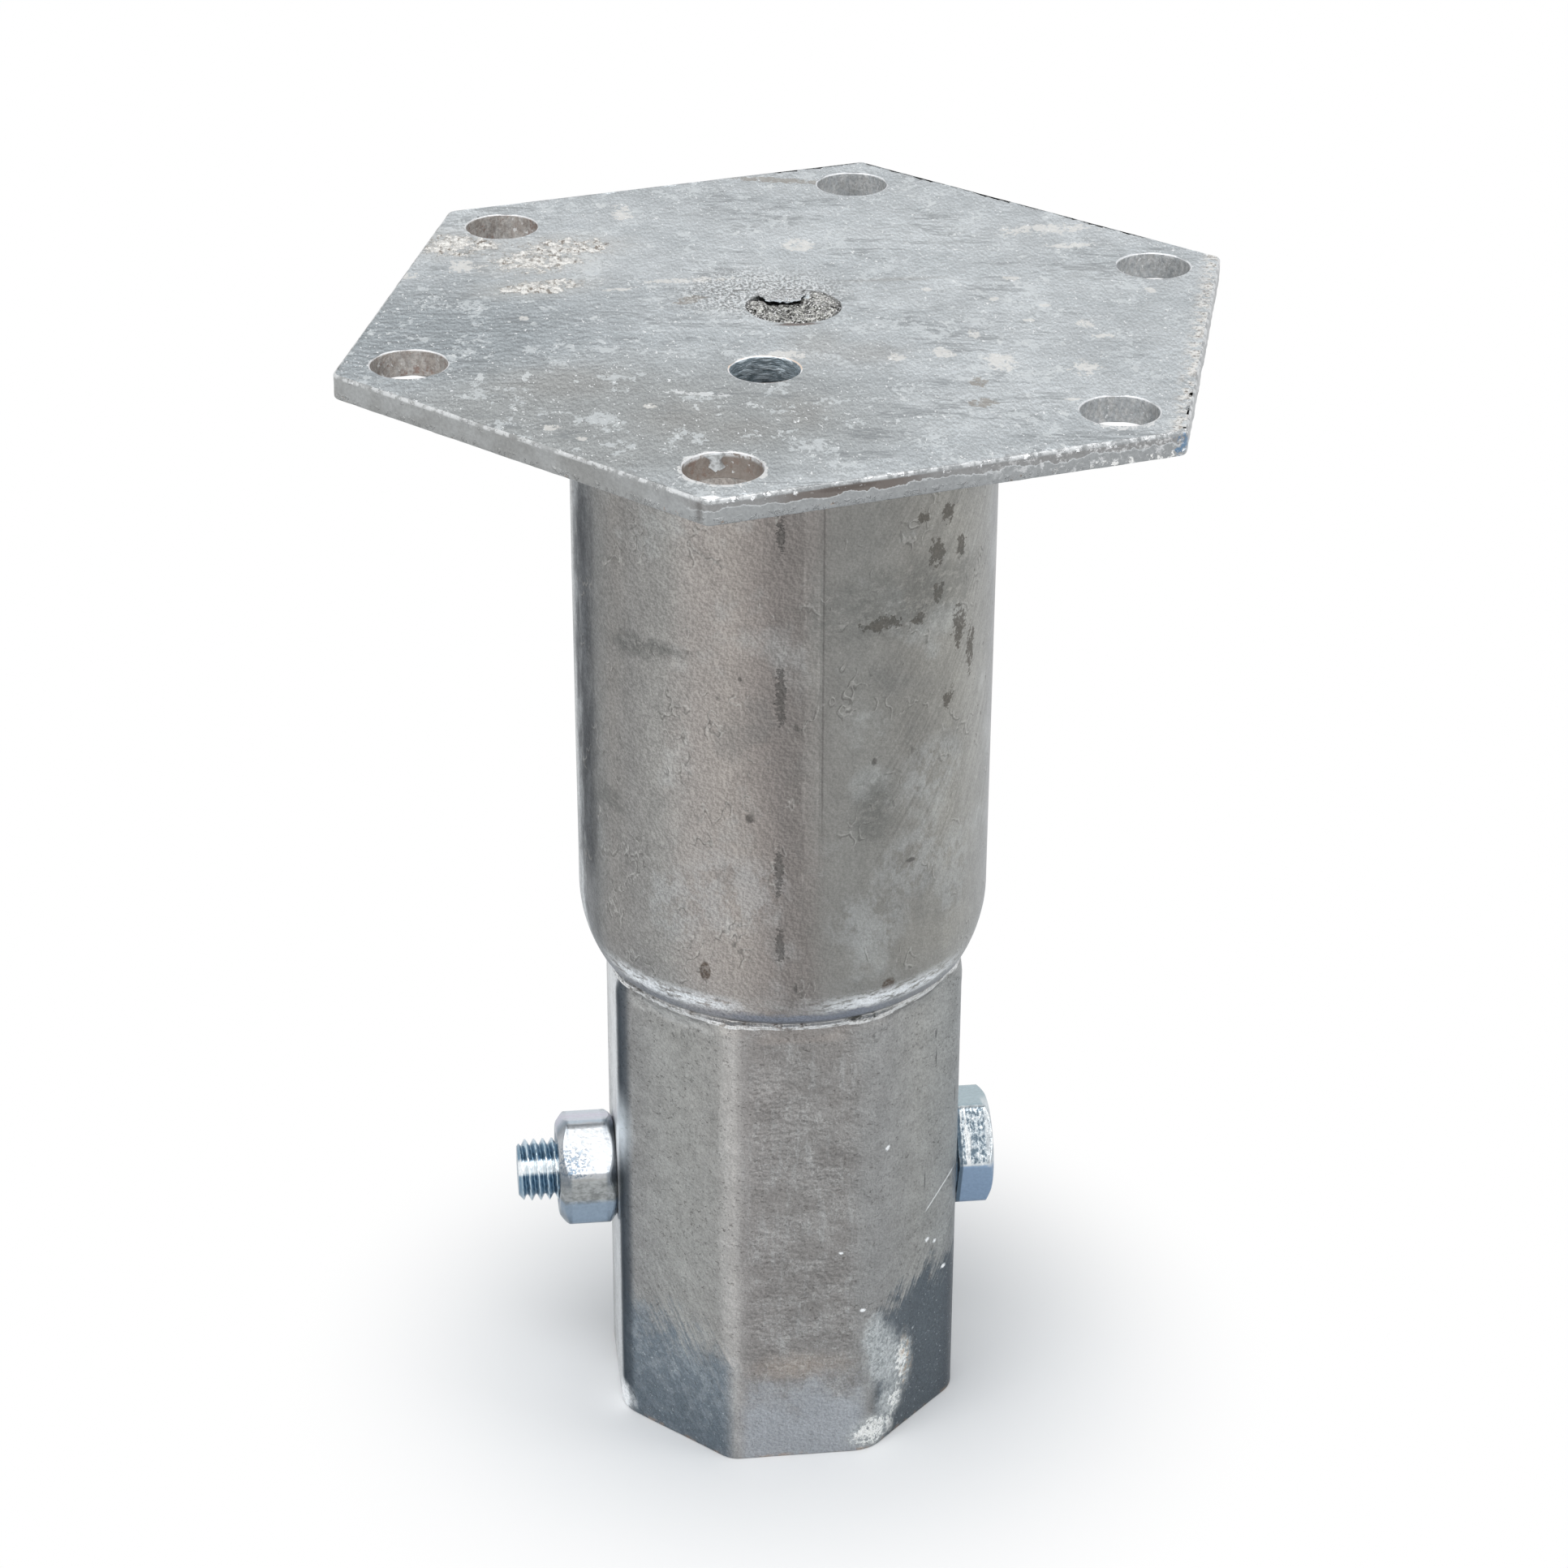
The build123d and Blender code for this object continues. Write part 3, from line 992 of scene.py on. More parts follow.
# %% Mesh of bolt and nut
BOLT_COLUMNS = 144

def turned(sections, first_turn):
    """Points round the bolt's axis: each section is a place and a radius, or a rule for it."""
    points = []
    for x, radius in sections:
        for column in range(BOLT_COLUMNS):
            angle = 360 * column / BOLT_COLUMNS + first_turn
            out, up = at(radius(angle, x) if callable(radius) else radius, math.radians(angle))
            points.append((x, -out, BOLT_HEIGHT + up))
    return points


def cross_bolt():
    end = bolt_low.x
    sections = [(end, 0.0), (end, 3.0), (end, 5.4)]
    sections += [(x, thread_at) for x in rows_through((end + 0.02, 0.17), SHANK_STARTS)]
    sections += [(x, BOLT_RADIUS) for x in rows_through((SHANK_STARTS, 8.0), 43.0)]
    sections += [(43.45, BOLT_RADIUS), (43.5, 8.4), (43.5, 11.5), (43.55, 12.6), (43.7, 12.75),
                 (44.35, 12.75), (WASHER_FACE, 12.8)]
    sections += [(WASHER_FACE + 0.02, washer_at(13.2)), (WASHER_FACE + 0.02, washer_at(14.6))]
    bevel = HEAD_END - 2.2
    sections += [(x, head_at) for x in rows_through((WASHER_FACE + 0.1, 0.8), (bevel, 0.18), HEAD_END)]
    sections += [(HEAD_END, 12.6), (HEAD_END, 10.0)]
    sections += [(HEAD_END - 0.15, radius) for radius in (9.6, 5.0, 0.0)]
    faces = grid_faces(len(sections), BOLT_COLUMNS)
    return new_piece("cross_bolt_forged", turned(sections, HEAD_TURN), faces, "cross_bolt", 38)


def hex_nut():
    face, outer = nut_high.x, nut_low.x
    bore = BOLT_RADIUS + 0.12
    sections = [(face, bore), (face, 10.5), (face, 12.0)]
    sections += [(x, nut_at) for x in rows_through((face - 0.02, 0.2), (face - 3.4, 0.9),
                                                   (outer + 3.4, 0.2), outer + 0.02)]
    sections += [(outer, 11.6), (outer, 10.6), (outer, 9.4), (outer + 0.35, 8.9), (outer + 1.1, bore)]
    faces = grid_faces(len(sections), BOLT_COLUMNS, wrap_rows=True)
    return new_piece("hex_nut_forged", turned(sections, NUT_TURN), faces, "hex_nut", 38)


bolt = cross_bolt()
nut = hex_nut()

# %% [markdown]
# ## The weld under the plate
#
# One fillet run joins the tube to the plate. A welder lays it bead by bead, so its face
# bulges a little and carries fine ripples, each one a curved line across the run.

# %% Weld
WELD_COLUMNS = 480
WELD_ROWS = 9
WELD_LEG = 4.8
RIPPLE = 2.9


def flange_weld():
    turns = round_turns(WELD_COLUMNS)
    points = []
    for part in range(WELD_ROWS):
        share = part / (WELD_ROWS - 1)
        bulge = 4 * share * (1 - share)
        for turn in turns:
            run = TUBE_RADIUS * turn
            ripple = math.sin(2 * math.pi * (run / RIPPLE + 0.35 * bulge))
            swell = lumps(run, 0, 0, 11, 3.3) * 0.35
            out = bulge * (0.35 + 0.13 * ripple + swell * 0.5) * 0.7071
            height = TUBE_TOP - WELD_LEG * (1 - share) - out
            wander = (1 - share) * swell * 0.8
            points.append((*at(TUBE_RADIUS + WELD_LEG * share + out, turn), height - wander))
    points += [(*at(TUBE_RADIUS - 0.05, turn), TUBE_TOP) for turn in turns]
    faces = grid_faces(WELD_ROWS + 1, WELD_COLUMNS, wrap_rows=True)
    return new_piece("flange_weld_bead", points, faces, "flange_weld", 70)


weld = flange_weld()

# %% [markdown]
# ## The slag in the vent hole
#
# Zinc dross and cutting slag froze in the vent hole. Its surface is a rough dish with loose
# grains heaped at both ends, and a dark gap is left along the near rim. On the far side a
# thick glittering crust hangs over the dish like a shelf, so it throws a black shadow.

# %% Vent slag
SHELF = (-1.9, 8.6)
SHELF_HALF = (5.6, 5.4)
DISH = -1.6
SLAG_COLUMNS = 220
SLAG_RINGS = 60
SHELF_COLUMNS = 150
# the slag's underside: radius, and height against the plate's underside
SLAG_UNDER = ((0.0, -1.5), (4.0, -1.4), (7.5, -0.9), (10.2, 0.1), (11.0, 1.2))
# the shelf from its middle to its free edge and back underneath: share of its size, drop
SHELF_TOP = (0.02, 0.12, 0.25, 0.37, 0.48, 0.58, 0.67, 0.75, 0.82, 0.88, 0.93, 0.97)
SHELF_EDGE = ((1.0, -0.12), (1.005, -0.30), (0.97, -0.48), (0.75, -0.6), (0.4, -0.65), (0.02, -0.65))
# heaps of loose grains: place, how wide, how high above the dish
SLAG_HEAPS = (
    (-9.5, 2.0, 5.0, 1.7), (8.8, 3.0, 6.6, 1.9), (6.0, 8.5, 4.5, 1.7), (8.0, -4.0, 4.0, 1.3),
    (2.5, -7.0, 3.5, 1.0), (-5.5, -6.0, 3.5, 0.9), (-8.0, -4.5, 3.2, 1.3),
)


def slag_height(x, y):
    """Height of the slag's top at a point, x and y from the vent hole's centre."""
    grains = 0.42 * lumps(x, y, 0, 1.5, 4.1) + 0.26 * lumps(x, y, 0, 0.7, 9.1)
    height = DISH + 0.35 * lumps(x, y, 0, 4, 6.6)
    for hx, hy, wide, rise in SLAG_HEAPS:
        away = math.hypot(x - hx, y - hy) / wide
        height = max(height, DISH + rise * (1 - step(away, 0.35, 1.15)) + 0.3 * lumps(x, y, 2, 3, 6.6))
    gap = step(-y, 8.6, 9.8) * step(4.5 - abs(x - 0.3), 0.0, 1.5)
    height -= 1.8 * gap * (0.7 + 0.9 * lumps(x, y, 0, 1.8, 12.0))
    return PLATE_TOP + min(height + grains, -0.12)


def slag_under(height):
    """A rule for the slag's underside, which hangs in drops about a height."""
    return lambda x, y: PLATE_UNDER + (height + 0.4 * lumps(x, y, 5, 2.2, 3.0))


def slag_disc():
    """The slag itself, closed at the bottom where it hangs under the plate."""
    rings = [(VENT[2] * (1 - ring / SLAG_RINGS)**0.9, slag_height) for ring in range(SLAG_RINGS)]
    rings += [(0.0, slag_height)] + [(radius, slag_under(height)) for radius, height in SLAG_UNDER]
    points = []
    for radius, height_at in rings:
        for turn in round_turns(SLAG_COLUMNS):
            x, y = at(radius, turn)
            points.append((VENT[0] + x, VENT[1] + y, height_at(x, y)))
    return points, grid_faces(len(rings), SLAG_COLUMNS, wrap_rows=True)


def slag_shelf(first):
    """The crust on the far side: a thin lumpy slab whose near edge is free."""
    points = []
    levels = [(share, 0.0) for share in SHELF_TOP] + list(SHELF_EDGE)
    for share, drop in levels:
        for turn in round_turns(SHELF_COLUMNS):
            east, north = at(1, turn)
            edge = 1 + 0.20 * lumps(east, north, 0, 0.40, 2.6)
            edge += 0.10 * lumps(east, north, 0, 0.14, 7.6)
            x = SHELF[0] + SHELF_HALF[0] * share * edge * east
            y = SHELF[1] + SHELF_HALF[1] * share * edge * north
            grain = 0.20 * lumps(x, y, 0, 0.9, 3.3) + 0.14 * lumps(x, y, 0, 0.45, 8.3)
            sunk = -0.16 * step(y, 9.5, 12.5)
            height = drop + (min(0.0, grain - 0.04 + sunk) if drop > -0.2 else 0.5 * grain)
            points.append((VENT[0] + x, VENT[1] + y, PLATE_TOP - 0.02 + height))
    return points, grid_faces(len(levels), SHELF_COLUMNS, wrap_rows=True, first=first)


def vent_slag():
    points, faces = slag_disc()
    more, more_faces = slag_shelf(len(points))
    return new_piece("vent_slag_crust", points + more, faces + more_faces, "vent_slag", 70)


slag = vent_slag()

# %% [markdown]
# ## A web of zinc in the near hole
#
# Where molten zinc drains off, it can freeze as a thin web. One hangs in the bolt hole at the
# near corner, against the far wall.

# %% Zinc web
NEAR_HOLE, NEXT_HOLE = HOLES[4], HOLES[5]
WEB_COLUMNS, WEB_ROWS = 28, 14


def web_point(layer, down, side):
    """A point of the web's back, layer 0, or front, layer 1."""
    *centre, radius = NEAR_HOLE
    width = 17 - 8 * step(down, 0.0, 0.4) + 4 * step(down, 0.5, 0.8) - 7 * step(down, 0.85, 1.0)
    angle = 97 + (side - 0.5) * 2 * width - 5 * down
    depth = 0.45 + 3.9 * down * (1 + 0.12 * lumps(side, 0, 0, 0.3, 4.0))
    skin = 1.15 * layer * math.sin(math.pi * min(1, max(0, side)))**0.5 * (1 - 0.45 * down)
    reach = radius + 0.25 - skin + 0.10 * layer * lumps(side * 4, down * 4, 0, 1, 3.0)
    return (*at(reach, math.radians(angle), centre), PLATE_TOP - depth)


def zinc_web():
    columns, rows = WEB_COLUMNS, WEB_ROWS
    points = [
        web_point(layer, row / (rows - 1), column / (columns - 1))
        for layer in (0.0, 1.0) for row in range(rows) for column in range(columns)
    ]
    faces = []
    sheet = rows * columns
    for row in range(rows - 1):
        for a in range(row * columns, row * columns + columns - 1):
            quad = (a, a + 1, a + columns + 1, a + columns)
            faces += [quad[::-1], tuple(sheet + i for i in quad)]
    border = list(range(columns)) + [r * columns + columns - 1 for r in range(1, rows)]
    border += [(rows - 1) * columns + c for c in range(columns - 2, -1, -1)]
    border += [r * columns for r in range(rows - 2, 0, -1)]
    faces += [(a, b, sheet + b, sheet + a) for a, b in zip(border, border[1:] + border[:1])]
    return new_piece("zinc_web", points, faces, "flange_plate", 70)


web = zinc_web()

# %% [markdown]
# ## The plate's finish
#
# Hot-dip zinc cools in clouds of slightly different greys. On this plate ash and dross from
# the bath stuck as pale spots and a few beige crusts, the left side has a rougher, darker
# grain, and a fine rolling grain runs along the plate. Each of these is one mask below, with
# its own colour and its own small height.

# %% Greys of the plate
VIEW_GRAIN = -VIEW_TURN
# the zinc's fine grain is longer from near to far than from side to side
DEEP_GRAIN = (1, 2.3, 1)
# dull brownish places: place, half width, half depth
DULL = (
    (5, -21, 6, 9), (16, -27, 8, 6), (-2.5, -60, 6, 9), (-29, -61, 9, 9), (-18, -69, 8, 7), (-54, -37, 13, 8),
    (27, 19.5, 11, 1.1),
)


def plate_greys(f):
    """Clouds of grey, the darker left side, and the grain, with painted light and shade on its lumps."""
    clouds = f.noise(38, 0, rough=0.6)
    bands = f.noise(16, 40, detail=5, stretch=(2.2, 1.4, 1), turn=VIEW_GRAIN)
    mottle = f.noise(4.5, 11, stretch=(1.2, 1.6, 1), turn=VIEW_GRAIN)
    grain = f.emboss(0.8, (0.15, 0.6, 0), 5, detail=3, rough=0.65, stretch=DEEP_GRAIN, turn=VIEW_GRAIN)
    fine = f.noise(0.4, 9, detail=2, stretch=DEEP_GRAIN)
    far_left = f.stain(-80, -8, 42, 34, 0.7, 0.5, high=40)
    near_left = f.stain(-44, -62, 56, 33, 0.5, 0.6, high=40)
    left = f.either(far_left, near_left)
    f.colour = f.mix(f.fade(clouds, 0.35, 0.65), f.rgb(187, 192, 195), f.rgb(199, 204, 207))
    f.paint(f.fade(bands, 0.42, 0.66) * 0.4, 160, 167, 171)
    f.paint(left * 0.85, 148, 155, 159)
    f.paint(near_left * 0.6, 162, 163, 161)
    dull = f.either(*(f.stain(*place, 0.8, 1.0) for place in DULL))
    f.paint(dull * 0.45, 152, 151, 148)
    f.tone(f.fade(mottle, 0.36, 0.64), 0.07)
    # painted light and shade on the fine grain, lit from one side
    f.tone(grain, 0.2)
    f.tone(f.fade(fine, 0.32, 0.68), 0.09)
    # the rolled grain of the left side, in painted light and shade: short ridges with a lit side and a dark
    # side each
    rolled = f.emboss(1.8, (0, 0.9, 0), 21, rough=0.65, stretch=(1.7, 1, 1), turn=VIEW_GRAIN)
    f.tone(f.mixed(far_left * 0.7 + 0.2, 0.5, rolled), 0.24)
    cracks = f.cracks(12, 0.028, 33, stretch=(4.5, 1, 1), turn=VIEW_GRAIN - 3)
    f.paint(cracks * f.bits(24, 0.5, 0.58, 14, **SMOOTH) * 0.5, 122, 127, 130)
    return left, mottle, fine


print(len(DULL), "dull places on the plate")

# %% [markdown]
# ### Ash and crusts
#
# Ash floats on the bath and sticks when the steel comes out. It lies in torn patches, spots
# and flecks, and near the upper left hole it froze with flux to beige crusts.

# %% Ash and crusts
# spots of ash: place, half width, half depth, softness, raggedness
ASH = (
    (8.5, 45, 4.2, 5.5, 0.10, 0.7), (41.5, -18, 1.9, 3.4, 0.10, 0.5), (56, 17, 2.6, 2.2, 0.2, 1.2),
    (45, -35.5, 3.8, 6.6, 0.12, 1.0), (33, -28.5, 3.0, 3.8, 0.15, 1.1), (22, -30, 2.6, 2.6, 0.2, 1.2),
    (70.5, -22, 3.4, 1.8, 0.2, 1.2), (68, -14, 2.6, 3.4, 0.3, 1.3), (55.5, -10.5, 1.6, 1.4, 0.2, 1.0),
    (61, -1.5, 1.6, 1.4, 0.2, 1.0), (50, 4, 1.6, 1.4, 0.2, 1.0), (87, 6, 2.2, 2.4, 0.3, 1.1),
    (35, 12, 1.6, 1.6, 0.2, 1.0), (63.5, -41, 4.4, 6.5, 0.5, 1.5), (74, 38, 8, 2.2, 0.3, 1.8),
    (-36, -53, 1.6, 1.8, 0.1, 0.7), (-3, -26, 7, 4, 0.3, 1.4), (70, 50, 17, 5, 0.6, 1.5),
    (-60.5, 3, 1.4, 1.8, 0.15, 0.5), (-58, -63, 2.4, 2.2, 0.2, 0.9), (-52, -70, 1.6, 1.4, 0.2, 0.9),
    (-32, 72, 3.0, 7, 0.3, 1.8), (-21, 24, 14, 2.0, 0.3, 1.6), (-37, 19.5, 5, 1.3, 0.3, 1.5),
    (-72, 39, 6, 5, 0.4, 1.6), (-86, 34, 3, 3, 0.3, 1.5), (57, -59, 2.2, 1.0, 0.2, 0.8),
)
# crusts: place, half width, half depth, slope
CRUSTS = (
    (-75, 54.5, 16, 9.5, -10), (-47, 50, 14, 8.5, 0), (-55, 41, 14, 10, 0), (-56, 23, 14, 6, 8),
)


def plate_ash(f, scraps):
    """Torn patches of paler zinc, larger spots, and flecks down to half a millimetre."""
    pale_bits = f.noise(9, 71, **CRISP, stretch=(1.3, 1.5, 1), turn=VIEW_GRAIN)
    pale_bits = f.ripped(f.fade(pale_bits, 0.48, 0.6), scraps, 0.46)
    f.paint(pale_bits * 0.62, 218, 223, 225)
    larger = f.bits(3.4, 0.645, 0.67, 52, detail=3, rough=0.6, stretch=(1, 1.7, 1))
    f.paint(larger * f.bits(24, 0.38, 0.5, 19, detail=2, rough=0.55) * 0.75, 220, 224, 225)
    ash = f.either(*(f.stain(*place, soft + 0.35, ragged) for *place, soft, ragged in ASH))
    ash = f.ripped(ash, scraps)
    f.paint(ash * 0.7, 229, 227, 223)
    wipe = f.stain(-24.6, -47, 10.5, 1.3, 0.8, 1.0, turn=-15.7)
    f.paint(f.ripped(wipe, scraps) * 0.7, 234, 236, 237)
    flecks = f.either(f.bits(1.3, 0.685, 0.705, 3, detail=2, rough=0.65, stretch=(1, 1.9, 1)),
                      f.bits(0.7, 0.72, 0.74, 83, detail=1, rough=0.6, stretch=DEEP_GRAIN))
    f.paint(flecks * 0.9, 246, 248, 249)
    return ash, flecks


def plate_crusts(f):
    """Beige crusts near the upper left hole: pale grains with brown gaps, and painted light and shade on their
    wrinkles.
    """
    crust = f.either(*(f.stain(*place, 0.7, 1.0, slope) for *place, slope in CRUSTS))
    flakes = f.noise(1.3, 17, rough=0.75, stretch=(1.1, 1.9, 1), turn=VIEW_GRAIN)
    broken = f.noise(2.6, 18, detail=5, rough=0.8, stretch=(1.2, 1.5, 1), turn=VIEW_GRAIN)
    f.paint(crust * 0.3, 214, 211, 205)
    crust = f.ripped(crust, broken, 0.43)
    # painted light and shade on the crust's wrinkles
    lit_wrinkles = f.emboss(1.2, (0.3, 0.9, 0), 57, detail=3, rough=0.65, stretch=(1.1, 1.9, 1), turn=VIEW_GRAIN)
    crust_colour = f.mix(f.fade(flakes, 0.4, 0.5), f.rgb(176, 170, 162), f.rgb(234, 232, 228))
    crust_colour = f.shade(crust_colour, lit_wrinkles, 0.24)
    gaps = f.fade(flakes, 0.45, 0.4) * f.fade(broken, 0.44, 0.56)
    crust_colour = f.mix(gaps * 0.85, crust_colour, f.rgb(108, 92, 76))
    f.paint(crust * 0.85, crust_colour)
    return crust, flakes


print(len(ASH), "spots of ash,", len(CRUSTS), "crusts")

# %% [markdown]
# ### Dust, collars and edges
#
# Dross dust lies round the vent hole, and white zinc gathered at two of the near holes. The
# right edge is burnt and flaky, and a broken painted highlight runs along the near edges and
# on the near corner.

# %% Dust and edges
def plate_dust(f, scraps, flakes):
    """Brown stains, the dust round the vent hole, and the white collars of two near holes."""
    stain = f.either(f.stain(-21, 11, 5, 2.5, 0.3, 1.6, turn=25), f.stain(38, -47, 2.5, 3.5, 0.4, 1.6),
                     f.stain(37, -59, 4, 3, 0.4, 1.6), f.stain(10, 93, 18, 2.5, 0.5, 1.5, turn=-14))
    stain = f.ripped(stain, flakes, 0.44)
    f.paint(stain * 0.6, 136, 126, 112)
    dust = f.stain(-4, 14, 18, 14, 0.55, 0.7, high=12)
    dust_bits = f.noise(0.7, 28, detail=3, stretch=(1, 1.8, 1))
    f.paint(dust * f.fade(dust_bits, 0.5, 0.44) * 0.7, 100, 98, 94)
    f.paint(dust * f.fade(dust_bits, 0.54, 0.59) * 0.9, 240, 241, 242)
    # white zinc gathered round two of the near holes
    collar = f.either(f.stain(NEAR_HOLE[0], NEAR_HOLE[1] - 0.4, 9.9, 10.0, 0.05, 0.25),
                      f.stain(NEXT_HOLE[0], NEXT_HOLE[1] - 2.2, 8.2, 9.2, 0.05, 0.5))
    f.paint(f.ripped(collar, scraps, 0.46) * 0.75, 238, 238, 237)
    scorch = f.stain(VENT[0] - 0.5, VENT[1] - 11.6, 4.6, 1.0, 0.4, 0.7)
    f.paint(scorch * 0.85, 84, 62, 48)
    return dust, dust_bits


def plate_edges(f):
    """The burnt right edge, and a painted highlight along each near edge and on the near corner."""
    to_right, to_near_right, to_near_left = f.along(-16), f.along(-76), f.along(-136)
    edge = f.fade(to_right, 92.0, 95.5) * f.bits(3.2, 0.44, 0.54, 63, rough=0.75)
    edge_colour = f.mix(f.bits(1.2, 0.38, 0.54, 13, detail=3, rough=0.75), f.rgb(122, 110, 98),
                        f.rgb(242, 240, 236))
    f.paint(edge * 0.85, edge_colour)
    # painted highlight: a broken bright line along each near edge
    line = f.either(f.fade(to_near_right, 95.0, 95.5), f.fade(to_near_left, 93.4, 93.8),
                    f.fade(to_right, 96.3, 96.9))
    line = line * f.bits(2.6, 0.48, 0.58, 93)
    f.paint(line * 0.4, 240, 243, 245)
    # painted highlight on the top of the near corner
    near_corner_highlight = f.stain(-28, -104.8, 2.6, 1.6, 0.3, 0.8)
    f.paint(near_corner_highlight, (0.95, 0.96, 0.97))


def plate_face():
    """The plate's top and underside: greys first, then ash, crusts, dust and edges."""
    f = Finish("plate_face_zinc", 1.14)
    left, mottle, fine = plate_greys(f)
    scraps = f.noise(1.5, 72, rough=0.75, stretch=(1.1, 1.8, 1), turn=VIEW_GRAIN)
    ash, flecks = plate_ash(f, scraps)
    crust, flakes = plate_crusts(f)
    dust, dust_bits = plate_dust(f, scraps, flakes)
    plate_edges(f)
    bump = f.relief((mottle, 0.35), (fine, 0.07), (crust * flakes, 1.2), (flecks, 0.12),
                    (dust * dust_bits, 0.25))
    rough = 0.4 + f.either(crust, ash * 0.6, left * 0.3) * 0.3
    return f.coat(rough, 0.72, bump)


plate.data.materials.append(plate_face())
print("plate face:", len(plate.data.materials[0].node_tree.nodes), "nodes")

# %% [markdown]
# ## Finishes of the plate's rims and holes
#
# A flame-cut edge keeps its drag lines and a burr along the bottom, and rust starts where
# the zinc is thin. The drilled or cut holes show upright strokes in their walls.

# %% Cut edge
def plate_side():
    """The cut edge: bare and brown under the right side's rim, flaky elsewhere, with a painted highlight and
    glinting beads along its top.
    """
    f = Finish("plate_side_zinc", 1.02)
    deep = f.fade(f.z, PLATE_TOP - 0.3, PLATE_UNDER + 0.3)
    clouds = f.noise(12, 8, rough=0.55)
    grit = f.noise(0.9, 2)
    right = f.fade(f.along(-45), 20, 75)
    right_side = f.fade(f.along(-76), 88, 94)
    f.colour = f.mix(f.fade(clouds, 0.38, 0.62), f.rgb(148, 149, 148), f.rgb(164, 166, 166))
    f.paint(right * 0.75, 155, 158, 160)
    f.tone(f.fade(grit, 0.34, 0.66), 0.09)
    # under the right side's top edge the cut is bare and brown, down to a torn pale line
    torn = (f.noise(7, 31, detail=5, rough=0.65) - 0.5) * 1.6
    level = deep + torn
    brown = f.fade(level, 0.4, 0.34) * f.fade(deep, 0.03, 0.09) * right_side
    beside = f.along(14)
    brown = brown * f.either(f.band(beside, 4, -12, -30, -46), 0.35)
    f.paint(brown * 0.9, 114, 106, 101)
    torn_line = f.fade(abs(level - 0.4), 0.06, 0.02) * right_side
    f.paint(torn_line * 0.55, 214, 217, 219)
    notch = f.patch((2, -98.5, PLATE_TOP - 1.5), (6.5, 3, 0.8), 0.3, 1.2, turn=14)
    f.paint(notch * 0.6, 92, 84, 80)
    # painted highlight along the top of the cut edge
    thin = f.bits(3.4, 0.44, 0.54, 44) * f.fade(deep, 0.06, 0.01)
    f.paint(thin * 0.5, 240, 242, 243)
    # beads of zinc along the top, painted as bright glints
    beads_and_glints = f.bits(1.9, 0.6, 0.66, 84, detail=3, rough=0.65) * f.fade(deep, 0.22, 0.06)
    f.paint(beads_and_glints * (right_side * 0.7 + 0.25), 250, 251, 252)
    low_flakes = f.bits(2.2, 0.52, 0.6, 14) * f.fade(deep, 0.76, 0.92)
    f.paint(low_flakes * (right_side * f.fade(f.along(14), 20, 45)), 242, 242, 240)
    gathered = f.fade(f.along(-28), 66, 82) * f.bits(1.9, 0.52, 0.62, 54, rough=0.75)
    f.paint(gathered * 0.5, 238, 239, 240)
    rust = f.bits(2.6, 0.62, 0.66, 24, **CRISP) * f.fade(deep, 0.78, 0.92)
    rust_colour = f.mix(f.fade(grit, 0.42, 0.58), f.rgb(96, 84, 76), f.rgb(176, 150, 130))
    f.paint(rust * 0.85, rust_colour)
    corner = f.patch((-30.2, -104.6, PLATE_TOP - 3.4), (0.7, 1.2, 3.0), 0.9, 1.4)
    f.paint(corner * 0.6, 84, 80, 77)
    blue = f.patch((77.5, -78.5, PLATE_TOP - 3), (3.4, 4.5, 2.8), 0.7, 1.2)
    blue = f.ripped(blue, f.noise(1.8, 74, rough=0.75), 0.42)
    f.paint(blue * 0.75, 84, 124, 160)
    bump = f.relief((grit, 0.14), (f.either(beads_and_glints, low_flakes), 0.3), (clouds, 0.5), (level * right_side, 0.3))
    return f.coat(0.38, 0.72, bump)


plate.data.materials.append(plate_side())
print("cut edge:", len(plate.data.materials[1].node_tree.nodes), "nodes")

# %% [markdown]
# ### The holes
#
# The rims of the bolt holes are thick with zinc and carry a painted highlight, and their walls
# are streaked. The drain hole's wall carries a painted reflection of the sky, and the vent
# hole's wall is painted nearly black as shade.

# %% Walls of the holes
def bolt_hole_wall():
    """Upright strokes, rust where the zinc is thin, and a painted highlight on the rounded rim."""
    f = Finish("bolt_hole_zinc", 0.8)
    strokes = f.noise(1.8, 3, **CRISP, stretch=(1, 1, 2.2))
    grit = f.noise(0.8, 8, rough=0.75)
    left = f.fade(f.x, 30, -60)
    f.colour = f.mix(left, f.rgb(152, 155, 157), f.rgb(148, 142, 137))
    f.paint(f.fade(strokes, 0.42, 0.6) * 0.55, 180, 179, 177)
    f.tone(f.fade(grit, 0.34, 0.66), 0.22)
    near_hole = f.patch((*NEAR_HOLE[:2], 293), (12, 12, 12), 0.1)
    f.paint(near_hole * 0.75, 124, 113, 104)
    rust = f.bits(3.2, 0.54, 0.62, 5, **CRISP) * left
    f.paint(rust * 0.6, 118, 90, 78)
    sparks = f.bits(1.2, 0.68, 0.72, 11, detail=2, rough=0.55)
    f.paint(sparks * 0.8, 240, 241, 242, 1.375)
    # painted highlight on the rounded top of every rim, and thick white zinc at the near hole
    rim = f.under_top(0.5, 0.2)
    thick = near_hole * f.under_top(1.5, 0.7)
    rim = f.either(rim, thick * f.bits(2.8, 0.42, 0.5, 7))
    f.paint(rim * 0.85, 234, 236, 238, 1.375)
    return f.coat(0.38, 0.7, f.relief((strokes, 0.3), (grit, 0.2)))


